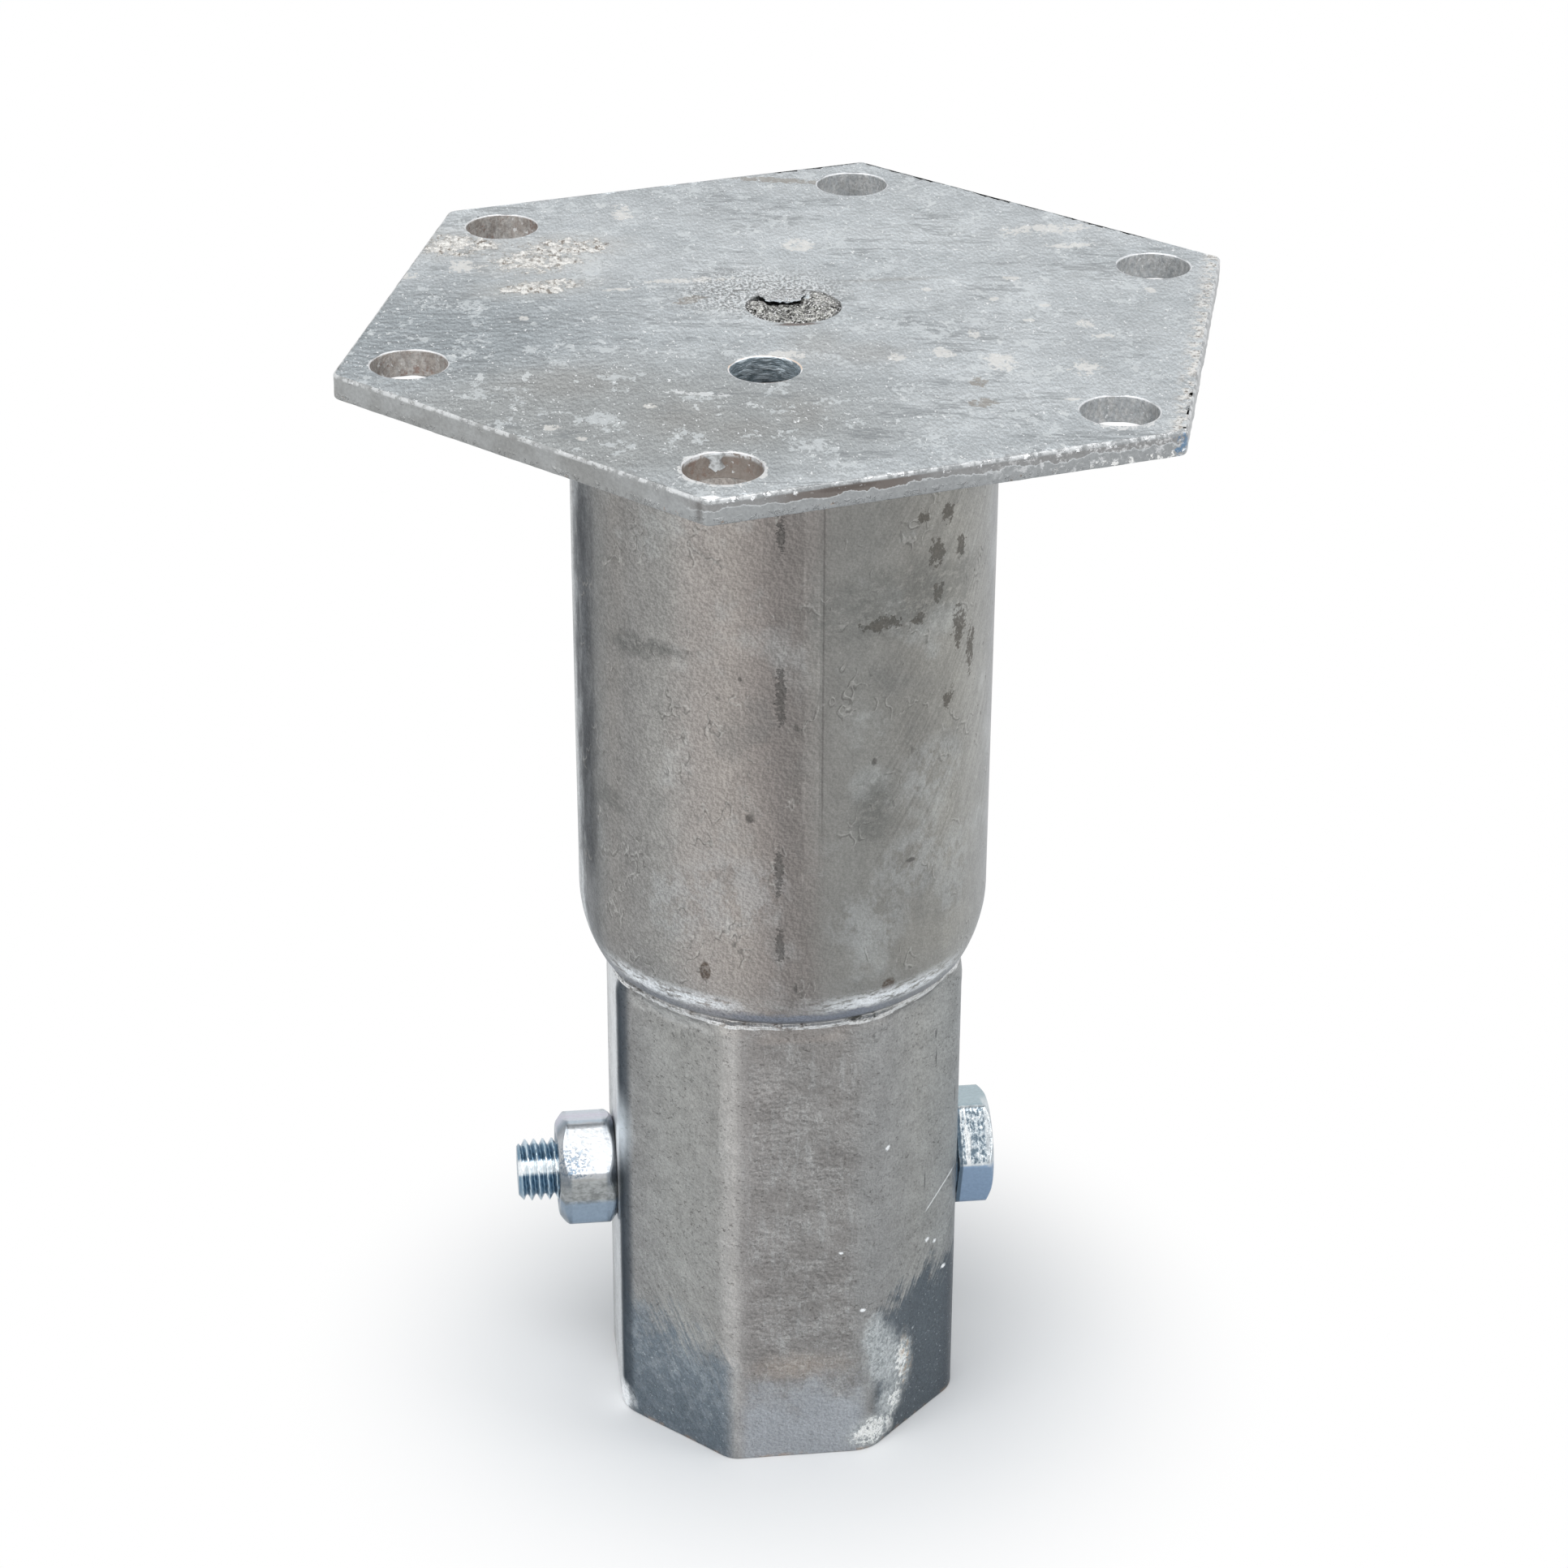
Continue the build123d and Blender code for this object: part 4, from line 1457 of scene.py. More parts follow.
def drain_hole_wall():
    f = Finish("drain_hole_zinc")
    strokes = f.noise(0.9, 12, stretch=(3.5, 3.5, 1))
    # painted reflection of the sky in the drain hole's wall
    f.colour = f.mix(f.fade(strokes, 0.38, 0.62), (0.3, 0.36, 0.4), (0.85, 0.93, 0.98))
    # painted highlight on the drain hole's rounded rim, white and warm by turns
    rim = f.under_top(0.4, 0.15)
    rim_colour = f.mix(f.bits(5, 0.42, 0.6, 2, **SMOOTH), f.rgb(244, 244, 244), f.rgb(236, 212, 192))
    f.paint(rim * 0.85, rim_colour)
    return f.coat(0.35, 0.8, f.relief((strokes, 0.25)))


def vent_hole_wall():
    f = Finish("vent_hole_zinc")
    grit = f.noise(0.9, 5)
    # painted shade: the vent hole's wall, seen only in the gap beside the slag, is nearly black
    f.colour = f.mix(f.fade(grit, 0.4, 0.6), (0.09, 0.09, 0.09), (0.35, 0.36, 0.36))
    return f.coat(0.45, 0.6, f.relief((grit, 0.3)))


for make in (bolt_hole_wall, drain_hole_wall, vent_hole_wall):
    plate.data.materials.append(make())
print("plate finishes:", [m.name for m in plate.data.materials])

# %% [markdown]
# ## The tube's finish
#
# Bright zinc on a round tube looks striped, because each part of the curve mirrors another
# part of the room. A ramp of greys round the tube paints those reflections in, with a warm tone
# left of the weld seam and a greener one to its right. Over it come the press marks, the dark
# blotches of the bath, and on the octagon a painted reflection for each face with painted
# blue-grey shade at the foot.

# %% Skin and greys of the round tube
# painted reflections: a grey for each angle round the tube, with the zinc's warm and green tones
TUBE_REFLECTIONS_AND_TONES = (
    (-180, (150, 154, 156)), (-173, (112, 116, 120)), (-165, (106, 109, 112)), (-158, (117, 118, 117)),
    (-150, (132, 130, 127)), (-142, (134, 133, 131)), (-130, (147, 146, 143)), (-119, (156, 151, 147)),
    (-110, (158, 152, 147)), (-103, (143, 137, 133)), (-97, (127, 122, 119)), (-90, (124, 120, 117)),
    (-85, (130, 129, 126)), (-76, (130, 130, 127)), (-61, (130, 129, 125)), (-45, (145, 144, 139)),
    (-32, (150, 150, 147)), (-24, (140, 141, 140)), (-18, (134, 136, 138)), (0, (150, 151, 150)),
    (30, (146, 147, 146)), (60, (158, 158, 155)), (90, (138, 138, 136)), (120, (150, 149, 146)),
    (150, (142, 143, 142)), (180, (150, 154, 156)),
)
ZINC_GAIN = 0.94


def orange_peel(f, bold=0.6):
    """The pebbled skin that all the dipped tube has, in the colour with painted light and shade on its lumps,
    and as heights.
    """
    smears = f.noise(9, 27, detail=5, stretch=(1, 1, 1.6))
    lit_peel = f.emboss(0.95, (0.32, 0.0, 0.22), 1, detail=3, rough=0.65)
    fine = f.noise(0.4, 15, detail=2, rough=0.6)
    f.tone(f.fade(smears, 0.3, 0.7), 0.05)
    # painted light and shade on the pebbles
    f.tone(f.mixed(bold, 0.5, lit_peel), 0.21)
    f.tone(f.fade(fine, 0.34, 0.66), 0.09)
    return [(fine, 0.06), (smears, 0.22)]


def tube_greys(f, turn):
    """The painted reflection of the room, the bath's clouds and the wiped strokes."""
    waver = f.noise(22, 4, **SMOOTH, stretch=(1, 1, 2.5)) - 0.5
    f.colour = f.ramp(turn + waver * 13, TUBE_REFLECTIONS_AND_TONES)
    clouds = f.noise(20, 7, rough=0.6)
    f.paint(f.fade(clouds, 0.54, 0.7) * 0.3, 182, 186, 186)
    f.paint(f.fade(clouds, 0.46, 0.3) * 0.35, 112, 113, 112)
    # right of the seam the zinc was wiped in slanting strokes
    slant = f.z + turn * -1.25
    wiped = f.streaks(slant, turn + f.z * 0.35, 1.5, 26, 3)
    right = f.fade(turn, -88, -58) * f.fade(f.z, 152, 172)
    f.tone(f.mixed(right, 0.5, f.fade(wiped, 0.34, 0.66)), 0.09)
    cells = f.noise(4.5, 12, **CRISP, stretch=(1, 1, 1.3))
    f.tone(f.fade(cells, 0.38, 0.62), 0.05)
    # painted reflection: a dark blotchy band on the tube's dark side, with painted highlights at its very edge
    runs = f.noise(5, 32, **CRISP, stretch=(1, 1, 3))
    dark_reflection_band = f.near(turn, -163, 9) * f.fade(runs, 0.34, 0.64)
    f.paint(dark_reflection_band * 0.6, 58, 62, 66)
    f.paint(f.near(turn, -174, 8) * f.fade(runs, 0.6, 0.38), 178, 182, 184)
    return clouds, cells


print(len(TUBE_REFLECTIONS_AND_TONES), "greys round the tube")

# %% [markdown]
# ### Marks on the round tube
#
# The weld seam of the pipe shows as a scored line with dark smudges beside it. Flux that
# burnt in left dark blotches, and on top of those come fine cracks and a few pinholes.

# %% Marks on the round tube
# spots on the round tube: angle, height, half width, half height
PALE_PATCHES = (
    (-58, 173, 11, 9), (-111, 170, 12, 11), (-127, 163, 8, 9), (-72, 160, 10, 8), (-43, 166, 7, 12),
    (-52, 196, 10, 8),
)
SEAM_SMUDGES = ((-97.6, 263, 1.3, 5), (-97.4, 222, 1.5, 10), (-97.6, 176, 1.3, 8), (-97.4, 156, 1.3, 6))
BLOTCHES = (
    (-49, 261, 2.6, 3.0), (-53, 252, 2.8, 4.6), (-43, 251, 2.8, 3.4), (-52, 242, 2.2, 3.0),
    (-43, 231, 3.2, 6.8), (-37, 223, 2.4, 7.2), (-47, 213, 2.6, 3.0), (-70, 238, 6.4, 2.2),
    (-58, 262, 2.4, 1.8), (-59, 237, 2.6, 1.6),
)
LONG_SHADES = ((-133, 230, 9, 2.0), (-141, 228, 7, 2.2), (-152, 184, 6, 4))
WIDE_SHADES = ((-63, 243, 26, 8), (-72, 190, 5, 10))
OVALS = ((-118, 147, 1.4, 2.6), (-66, 141, 1.8, 2.0))
PINHOLES = (
    (-108, 226, 0.5, 0.6), (-105.5, 190, 1.0, 1.2), (-72, 203, 0.7, 0.9), (-60, 174, 1.3, 0.6),
    (-93, 144, 0.4, 1.4),
)


def tube_marks(f, turn, cells):
    """Pale patches, the seam with its smudges, and fine cracks."""
    # pale smooth patches low on the tube
    pale = f.spots(PALE_PATCHES, 0.35)
    pale = pale * f.fade(cells, 0.4, 0.56)
    f.paint(pale * 0.22, 182, 187, 190)
    # seam: a thin scored line, two pale lines, and a column of dark smudges beside them
    line = f.near(turn, -86.3, 0.35, 0.2) * f.fade(f.z, 178, 196)
    f.paint(line * 0.55, 92, 90, 88)
    broken = f.bits(3, 0.46, 0.6, 5, **SMOOTH, stretch=(1, 1, 2))
    glints = f.either(f.near(turn, -91.2, 0.6), f.near(turn, -87.6, 0.5)) * broken
    glints = f.either(glints * 0.7, f.near(turn, -89.2, 2.2, 0.7) * 0.35)
    f.paint(glints * f.fade(f.z, 150, 200) * 0.38, 174, 171, 167)
    # fine cracks in the zinc
    places = f.bits(13, 0.54, 0.6, 55, **SMOOTH)
    lines = f.cracks(7, 0.022, 35, stretch=(1, 1, 1.4), detail=2) * places
    f.paint(lines * 0.5, 84, 83, 80)
    pale_lines = f.cracks(7, 0.018, 35.3, stretch=(1, 1, 1.4), detail=2) * places
    f.paint(pale_lines * 0.28, 196, 195, 191)
    hatch = f.spots(SEAM_SMUDGES, 0.9, 1.0)
    soot = f.noise(0.9, 2, rough=0.8, stretch=(1.8, 1.8, 1))
    hatch = f.ripped(hatch, soot, 0.4)
    f.paint(hatch * 0.62, 74, 73, 71)
    return line, hatch


def tube_blotches(f, turn):
    """Dark blotches where flux burnt in, long shades, ovals and pinholes."""
    blotch = f.spots(BLOTCHES, 0.9, 1.2)
    blotch = f.ripped(blotch, f.noise(1.5, 62, rough=0.75), 0.38)
    more = f.bits(2.4, 0.66, 0.7, 66) * (f.fade(turn, -80, -60) * f.fade(f.z, 185, 205))
    blotch = f.either(blotch, more * 0.8)
    f.paint(blotch * 0.72, 84, 80, 74)
    shade = f.either(f.spots(LONG_SHADES, 0.7, 1.4), f.spots(WIDE_SHADES, 0.6, 1.6) * 0.8)
    shade = shade * f.bits(2.2, 0.38, 0.52, 22, detail=5, rough=0.8, stretch=(1.8, 1.8, 1))
    f.paint(shade * 0.55, 86, 88, 86)
    ovals = f.spots(OVALS, 0.15, 0.4)
    scribble = f.bits(0.9, 0.42, 0.55, 64, detail=3)
    f.paint(ovals * (scribble * 0.45 + 0.45), 84, 74, 66)
    pins = f.spots(PINHOLES, 0.4, 0.9)
    f.paint(pins * 0.7, 72, 70, 68)
    return blotch


print(len(BLOTCHES), "dark blotches,", len(PINHOLES), "pinholes")

# %% [markdown]
# ### The shoulder and the lip
#
# The shoulder curves down to the groove, so it shows the floor as bright bows, painted in as
# highlights. Under them come a painted dark band of reflection, painted shade in the groove and
# a painted highlight along the lip.

# %% Shoulder and lip
def tube_shoulder(f, turn):
    """Painted highlights as bright bows on the shoulder, a painted dark band of reflection under them, painted
    shade in the groove, and a painted highlight on the lip.
    """
    # painted highlights: bright bows where the shoulder shows the floor
    bow_reflection = f.band(f.z, 133.8, 136.2, 137.5, 141.5)
    bow_reflection = bow_reflection * f.either(f.near(turn, -133, 34, 0.3), f.near(turn, -62, 34, 0.3), f.near(turn, 150, 70, 0.3),
                         f.near(turn, 40, 60, 0.3))
    flaky = f.noise(2.2, 34, rough=0.75, stretch=(1.8, 1.8, 0.6))
    f.paint(bow_reflection * f.fade(flaky, 0.38, 0.54) * 0.85, 234, 237, 240)
    frayed = f.z + (flaky - 0.5) * 5
    # painted reflection: a dark band under the bows
    painted_dark_band = f.fade(f.z, 130.5, 131.2) * f.fade(frayed, 136.2, 133.8)
    painted_dark_band = painted_dark_band * (f.near(turn, -88, 30, 0.5) * 0.4 + 0.5)
    f.paint(painted_dark_band, 124, 130, 142)
    # painted shade in the groove
    painted_crease_shade = f.band(f.z, 130.5, 130.9, 131.3, 132.0)
    f.paint(painted_crease_shade * 0.6, 100, 103, 108)
    # painted highlight along the lip
    lip = f.fade(f.z, 130.8, 130.3) * f.fade(flaky, 0.38, 0.5)
    f.paint(lip * 0.8, 218, 219, 219)
    return lip


def tube_wall():
    """The round tube, its shoulder and the lip."""
    f = Finish("tube_zinc", ZINC_GAIN)
    turn = f.turn_of(f.y, f.x)
    clouds, cells = tube_greys(f, turn)
    line, hatch = tube_marks(f, turn, cells)
    blotch = tube_blotches(f, turn)
    lip = tube_shoulder(f, turn)
    heights = orange_peel(f, f.fade(turn, -82, -95) * 0.6 + 0.4)
    heights += [(clouds, 0.35), (line, -0.12), (lip, 0.12), (hatch, -0.15)]
    rough = 0.36 + blotch * 0.25
    # painted shade: the reflections are tinted dark on the dark side, right up to the tube's outline
    painted_dark_side = f.near(turn, -167, 11) * f.fade(f.z, 150, 170)
    tint = f.mix(painted_dark_side * 0.65, WHITE, (0.12, 0.12, 0.13))
    return f.coat(rough, 0.82, f.relief(*heights), tint)


round_zinc = tube_wall()
print("round tube:", len(round_zinc.node_tree.nodes), "nodes")

# %% [markdown]
# ### The socket
#
# Each face of the octagon has its own grey, a painted reflection, because flat zinc mirrors
# one part of the room. The same ramp paints shade into the crease at the far left and a
# highlight on the corner left of the middle face.
# The jaws worked the middle face hardest, and left wipes, ridges, pits and nicks there.

# %% Greys and marks of the socket
# painted reflections: a grey for each face, with painted shade in the crease near -158 degrees and a painted
# highlight on the corner near -113
SOCKET_REFLECTIONS_AND_TONES = (
    (-180, (205, 207, 208)), (-163, (204, 206, 208)), (-159.5, (176, 179, 182)), (-157.8, (88, 94, 100)),
    (-155.5, (104, 108, 112)), (-152, (138, 138, 137)), (-135, (152, 152, 149)), (-117, (149, 148, 145)),
    (-114.8, (170, 168, 165)),
    (-110.8, (174, 171, 168)), (-109, (148, 145, 143)), (-105, (141, 138, 136)), (-90, (138, 136, 134)),
    (-76, (138, 136, 134)), (-70, (143, 143, 142)), (-64, (143, 143, 142)), (-45, (148, 148, 145)),
    (-29, (143, 145, 144)), (-22, (132, 135, 136)), (-15, (160, 162, 163)), (0, (156, 157, 157)),
    (22.5, (170, 170, 168)), (45, (142, 142, 140)), (67.5, (166, 166, 164)), (90, (148, 148, 146)),
    (112.5, (168, 168, 166)), (135, (144, 144, 142)), (157.5, (172, 172, 171)), (180, (205, 207, 208)),
)
SOCKET_GAIN = 0.96 * ZINC_GAIN
SOCKET_STARTS = 129.0


def socket_greys(f, turn):
    """A painted reflection for each face, and the marks of the jaws, their ridges in painted light and shade.
    """
    f.colour = f.ramp(turn, SOCKET_REFLECTIONS_AND_TONES)
    f.tone(f.bits(7, 0.36, 0.64, 81, detail=5), 0.08)
    on_c = f.band(turn, -109, -104, -76, -68)
    some = on_c * 0.65 + 0.35
    # the middle face: pale upright wipes, dark patches, and ridges in painted light and shade
    wipes = f.bits(2.4, 0.54, 0.64, 88, rough=0.65, stretch=(1, 1, 6))
    f.paint(wipes * some * 0.2, 180, 182, 182)
    clusters = f.bits(7, 0.44, 0.58, 97, rough=0.65, stretch=(1.4, 1.4, 1))
    f.paint(clusters * some * 0.3, 108, 104, 101)
    # ridges drawn as painted light and shade, lit from one side
    lit_ridges = f.emboss(1.4, (0.2, 0, 0.6), 38, stretch=(1.6, 1.6, 0.9))
    worked = f.bits(11, 0.4, 0.6, 48, **SMOOTH)
    f.tone(f.mixed(on_c * (worked * 0.7 + 0.2), 0.5, lit_ridges), 0.22)
    squiggles = f.cracks(4.5, 0.02, 18, detail=3) * ((1.0 - clusters) * some)
    f.paint(squiggles * 0.2, 210, 212, 211)
    pits = f.bits(1.2, 0.6, 0.65, 58, rough=0.75, stretch=(1.3, 1.3, 0.9))
    f.paint(pits * (clusters * 0.6 + 0.3) * 0.6, 88, 86, 84)
    return pits


print(len(SOCKET_REFLECTIONS_AND_TONES), "greys round the socket")

# %% [markdown]
# ### The socket's foot
#
# At its foot the side faces are painted blue-grey as shade, with an edge torn by slanting
# strokes. Ash stuck to the right face and its lower corner, and a white patch lies at the
# lower left corner.

# %% Foot of the socket
# spots on the socket: angle, height, half width, half height
FOOT_ASH = (
    (-65, 34, 4.0, 7), (-61, 27, 6.0, 9), (-55, 22, 6.5, 9), (-51, 20, 4.6, 10), (-57, 11, 6.0, 6),
    (-65, 5, 8, 5),
)
FOOT_WHITE = ((-51, 21, 4.4, 9), (-54, 11, 4.5, 5), (-65, 5, 8, 5), (-57, 4, 5, 5))


def socket_foot(f, turn):
    """Painted blue-grey shade at the foot of the side faces and at the lower right corner, and a paler bluish
    grey at the foot of the middle face.
    """
    tear = (f.noise(8, 23, detail=5) - 0.5) * 36
    torn_z = f.z + tear
    on_b = f.band(turn, -162, -156, -116, -109)
    on_d = f.band(turn, -68, -62, -20, -14)
    # both side faces were rubbed in slanting strokes, down towards the middle face
    slanted = abs(turn + 90.0) * 1.3
    rubbed = f.streaks(f.z - slanted, turn, 1.5, 30, 29)
    torn_b = torn_z + (rubbed - 0.5) * 22
    # painted shade: blue-grey low on both side faces, the floor in the plate's shade as they would mirror it
    shaded_foot_b = on_b * f.fade(torn_b + f.along(-45) * 0.1, 40, 24)
    torn_d = torn_z + (rubbed - 0.5) * 30
    shaded_foot_d = on_d * f.fade(torn_d - f.along(45) * 0.12, 47, 39)
    strokes = f.either(on_b, on_d) * f.fade(f.z, 75, 45)
    f.tone(f.mixed(strokes, 0.5, f.fade(rubbed, 0.4, 0.6)), 0.07)
    dusty = f.noise(3.2, 66, **CRISP)
    painted_slate_b = f.mix(f.fade(dusty + rubbed * 0.35, 0.62, 0.78) * 0.8, f.rgb(104, 116, 126), f.rgb(140, 149, 156))
    f.paint(shaded_foot_b * 0.85, painted_slate_b)
    f.paint(shaded_foot_b * f.fade(f.z, 24, 4) * 0.55, 88, 99, 108)
    f.paint(shaded_foot_d * 0.92, 76, 86, 94)
    # painted shade darkening the lower right corner
    painted_corner_shade = f.fade(turn, -32, -22) * (f.fade(turn, -8, -14) * f.fade(f.z, 52, 34))
    f.paint(painted_corner_shade * 0.6, 60, 66, 74)
    low_c = f.band(turn, -112, -106, -72, -66) * f.fade(torn_z, 30, 12)
    f.paint(low_c * 0.7, 158, 163, 169, 0.88)
    f.paint(f.spot(-90, 28, 12, 4, 0.6, 1.0) * 0.35, 176, 160, 146)
    return shaded_foot_b, shaded_foot_d


def socket_ash(f, turn, shaded_foot_b, shaded_foot_d):
    """Ash at the foot on the right, a white corner on the left, and a little rust."""
    ash = f.spots(FOOT_ASH, 0.35, 0.8)
    ash_bits = f.noise(1.2, 77, rough=0.75)
    ash_colour = f.mix(f.fade(ash_bits, 0.38, 0.58), f.rgb(156, 161, 163), f.rgb(198, 202, 203))
    white = f.spots(FOOT_WHITE, 0.7, 1.0)
    white = f.ripped(white, ash_bits, 0.4)
    ash_colour = f.mix(white, ash_colour, f.rgb(232, 233, 231, 0.9))
    tan = f.fade(turn, -54, -49) * f.bits(2.0, 0.5, 0.6, 57, **SMOOTH)
    ash_colour = f.mix(tan * 0.6, ash_colour, f.rgb(196, 172, 144))
    f.paint(ash * 0.9, ash_colour)
    specks = f.either(shaded_foot_b, shaded_foot_d) * f.bits(1.0, 0.62, 0.7, 46, detail=3)
    f.paint(specks * 0.6, 190, 196, 200)
    corner_white = f.spot(-158.5, 3.2, 4.2, 4.4, 0.5, 1.0)
    f.paint(corner_white * 0.75, 240, 241, 242, 0.8)
    rust = f.fade(f.z, 1.4, 0.5) * f.bits(3, 0.5, 0.62, 3, rough=0.55)
    f.paint(rust * 0.35, 170, 140, 112, 0.8)
    return ash, ash_bits, corner_white


print(len(FOOT_ASH), "spots of ash at the foot")

# %% [markdown]
# ### Scars, and the whole socket
#
# Scratches and nicks came last, so they are painted over everything else. Then the socket's
# finish is put together, with painted light where the nut throws light on the corner beside it,
# and painted shade in the crease there.

# %% Scars, and the whole socket
SCRATCHES = ((-36, 114, 0.5, 1.6), (-35.5, 107, 0.3, 3.0), (-40, 72, 0.35, 3.0), (-25, 92, 0.3, 3.0))
NICKS = (
    (-61, 90, 0.8, 0.7), (-38, 53, 0.8, 0.7), (-34, 51, 0.7, 0.6), (-77, 62, 0.6, 0.4), (-29, 41, 0.9, 0.6),
    (-70, 44, 0.7, 0.5),
)


def socket_scars(f, turn):
    """Scratches, one of them long and bright, nicks, and flaky crescents under the lip, with a painted shadow
    just under it.
    """
    scratch = f.spots(SCRATCHES, 0.35, 0.6)
    scars = f.bits(1.0, 0.67, 0.7, 61, detail=3, stretch=(0.6, 0.6, 2.4))
    scratch = f.either(scratch, scars * 0.8)
    f.paint(scratch * 0.7, 70, 71, 72)
    slope = f.z - 62.7 - (turn + 38.0) * 0.52
    long_scratch = f.fade(abs(slope), 0.45, 0.15) * f.band(turn, -40, -38, -26, -23.5)
    f.paint(long_scratch * 0.75, 226, 228, 228)
    nicks = f.spots(NICKS, 0.4, 1.6)
    f.paint(nicks * 0.85, 240, 243, 245, 0.8)
    # flaky crescents under the lip, and a painted shadow line just under it
    flakes = f.bits(2.2, 0.36, 0.56, 6, stretch=(1.6, 1.6, 0.5))
    crescent = f.fade(f.z, 123.6, 125.4)
    f.paint(crescent * (f.near(turn, -135, 21, 0.6) * flakes) * 0.5, 190, 190, 188)
    f.paint(crescent * f.near(turn, -90, 17, 0.6) * 0.55, 154, 147, 142)
    sides = f.either(f.near(turn, -137, 20, 0.7), f.near(turn, -46, 20, 0.7))
    painted_lip_shadow = f.fade(f.z, 127.2, 128.4) * f.fade(flakes, 0.4, 0.6) * sides
    f.paint(painted_lip_shadow * 0.6, 92, 92, 92)


def socket_wall():
    """The octagon, from its greys to the painted light that the nut throws on it and the painted shade in its
    crease.
    """
    f = Finish("socket_zinc", SOCKET_GAIN)
    turn = f.turn_of(f.y, f.x)
    pits = socket_greys(f, turn)
    ash, ash_bits, corner_white = socket_ash(f, turn, *socket_foot(f, turn))
    socket_scars(f, turn)
    heights = orange_peel(f) + [(ash * ash_bits, 0.9), (pits, -0.2)]
    # painted light: the glow that the nut throws on the corner beside it
    lit = f.spot(-157.6, 86, 3.2, 8.5, 0.9, 0.4)
    f.paint(lit * 0.85, 236, 243, 248)
    crusty = f.either(ash, corner_white)
    rough = 0.36 + crusty * 0.25
    # painted shade in the crease at the left corner, in the colour and in the reflections' tint
    painted_crease_shade = f.near(turn, -156.5, 4.5) * (1.0 - f.either(lit, corner_white))
    f.paint(painted_crease_shade * 0.7, 78, 84, 90)
    tint = f.mix(painted_crease_shade * 0.9, WHITE, (0.12, 0.13, 0.14))
    return f.coat(rough, f.mixed(crusty, 0.82, 0.45), f.relief(*heights), tint)


socket_zinc = socket_wall()
print("socket:", len(socket_zinc.node_tree.nodes), "nodes")

# %% [markdown]
# ### The bore, and which face gets which finish
#
# The bore can't be seen in the photograph, so it is plain. The tube is one mesh, so its
# faces are told apart by their direction and their height.

# %% Bore, and the tube's finishes
def bore_wall():
    """Inside the tube the zinc drained less evenly, and it stays darker."""
    f = Finish("bore_zinc")
    runs = f.noise(12, 7, rough=0.55, stretch=(1, 1, 3))
    f.colour = f.mix(f.fade(runs, 0.35, 0.65), (0.24, 0.25, 0.26), (0.38, 0.39, 0.4))
    return f.coat(0.42, 0.8, f.relief((runs, 0.4), *orange_peel(f)))


def paint_tube(tube):
    """Gives each face of the tube its finish: round wall, octagon or bore."""
    mesh = tube.data
    mesh.materials.clear()
    for finish in (round_zinc, socket_zinc, bore_wall()):
        mesh.materials.append(finish)
    for face in mesh.polygons:
        outward = face.normal.x * face.center.x + face.normal.y * face.center.y
        if outward < -0.01 * MM:
            face.material_index = 2
        else:
            face.material_index = 1 if face.center.z < SOCKET_STARTS * MM else 0


paint_tube(tube)
print("tube finishes:", [len(m.node_tree.nodes) for m in tube.data.materials], "nodes")

# %% [markdown]
# ## Finishes of bolt and nut
#
# The bolt and nut are electroplated, so they are smoother and bluer than the dipped steel.
# Their lower faces look down at the floor, where the part's own shade makes them a darker
# blue-grey. That shade, and the highlights on the faces that look up, are painted into their
# colour by angle.

# %% Plating of bolt and nut
# painted light and shade: a tone for each angle, with gains for the lit and the shaded faces
HEAD_TONES_LIT_AND_SHADED = (
    (-180, (120, 138, 158), 1.1), (-109, (112, 130, 150), 1.0), (-49.5, (110, 128, 150), 0.9),
    (-48, (128, 149, 173), 0.83), (9.5, (132, 153, 177), 0.83), (11.5, (206, 218, 226), 1.25),
    (69.5, (214, 225, 232), 1.25), (72, (171, 190, 198), 1.10), (130, (171, 190, 198), 1.10),
    (133, (160, 176, 186), 1.1), (180, (120, 138, 158), 1.1),
)
NUT_TONES_LIT_AND_SHADED = (
    (-180, (150, 162, 174), 1.1), (-99, (118, 134, 150), 0.9), (-40, (120, 136, 152), 0.85),
    (-38, (136, 152, 168), 0.85), (-13, (138, 153, 168), 0.85), (-6, (146, 148, 147), 0.86),
    (19.5, (150, 152, 151), 0.86), (21.5, (238, 242, 246), 1.8), (79.5, (240, 244, 248), 1.8),
    (82, (192, 205, 216), 1.12), (108, (198, 196, 214), 1.12), (140, (190, 206, 214), 1.12),
    (143, (178, 188, 198), 1.1), (180, (150, 162, 174), 1.1),
)


def plated(name, greys):
    """Bright plating, with painted light and shade for each angle: 0 degrees faces the viewer, 90 faces up."""
    f = Finish(name)
    turn = f.turn_of(f.z - BOLT_HEIGHT, f.y * -1.0)
    smear = (f.noise(3.0, 6, rough=0.55) - 0.5) * 5
    f.colour = f.ramp(turn + smear, greys)
    return f, turn


def worn(f, rough, layer):
    """The end of a plated finish: fine wear over everything, and the skin's slight waves."""
    f.tone(f.bits(0.8, 0.3, 0.7, 2, **SMOOTH), 0.06)
    return f.coat(rough, 0.9, f.relief((f.noise(1.4, 4, **SMOOTH), 0.05), layer))


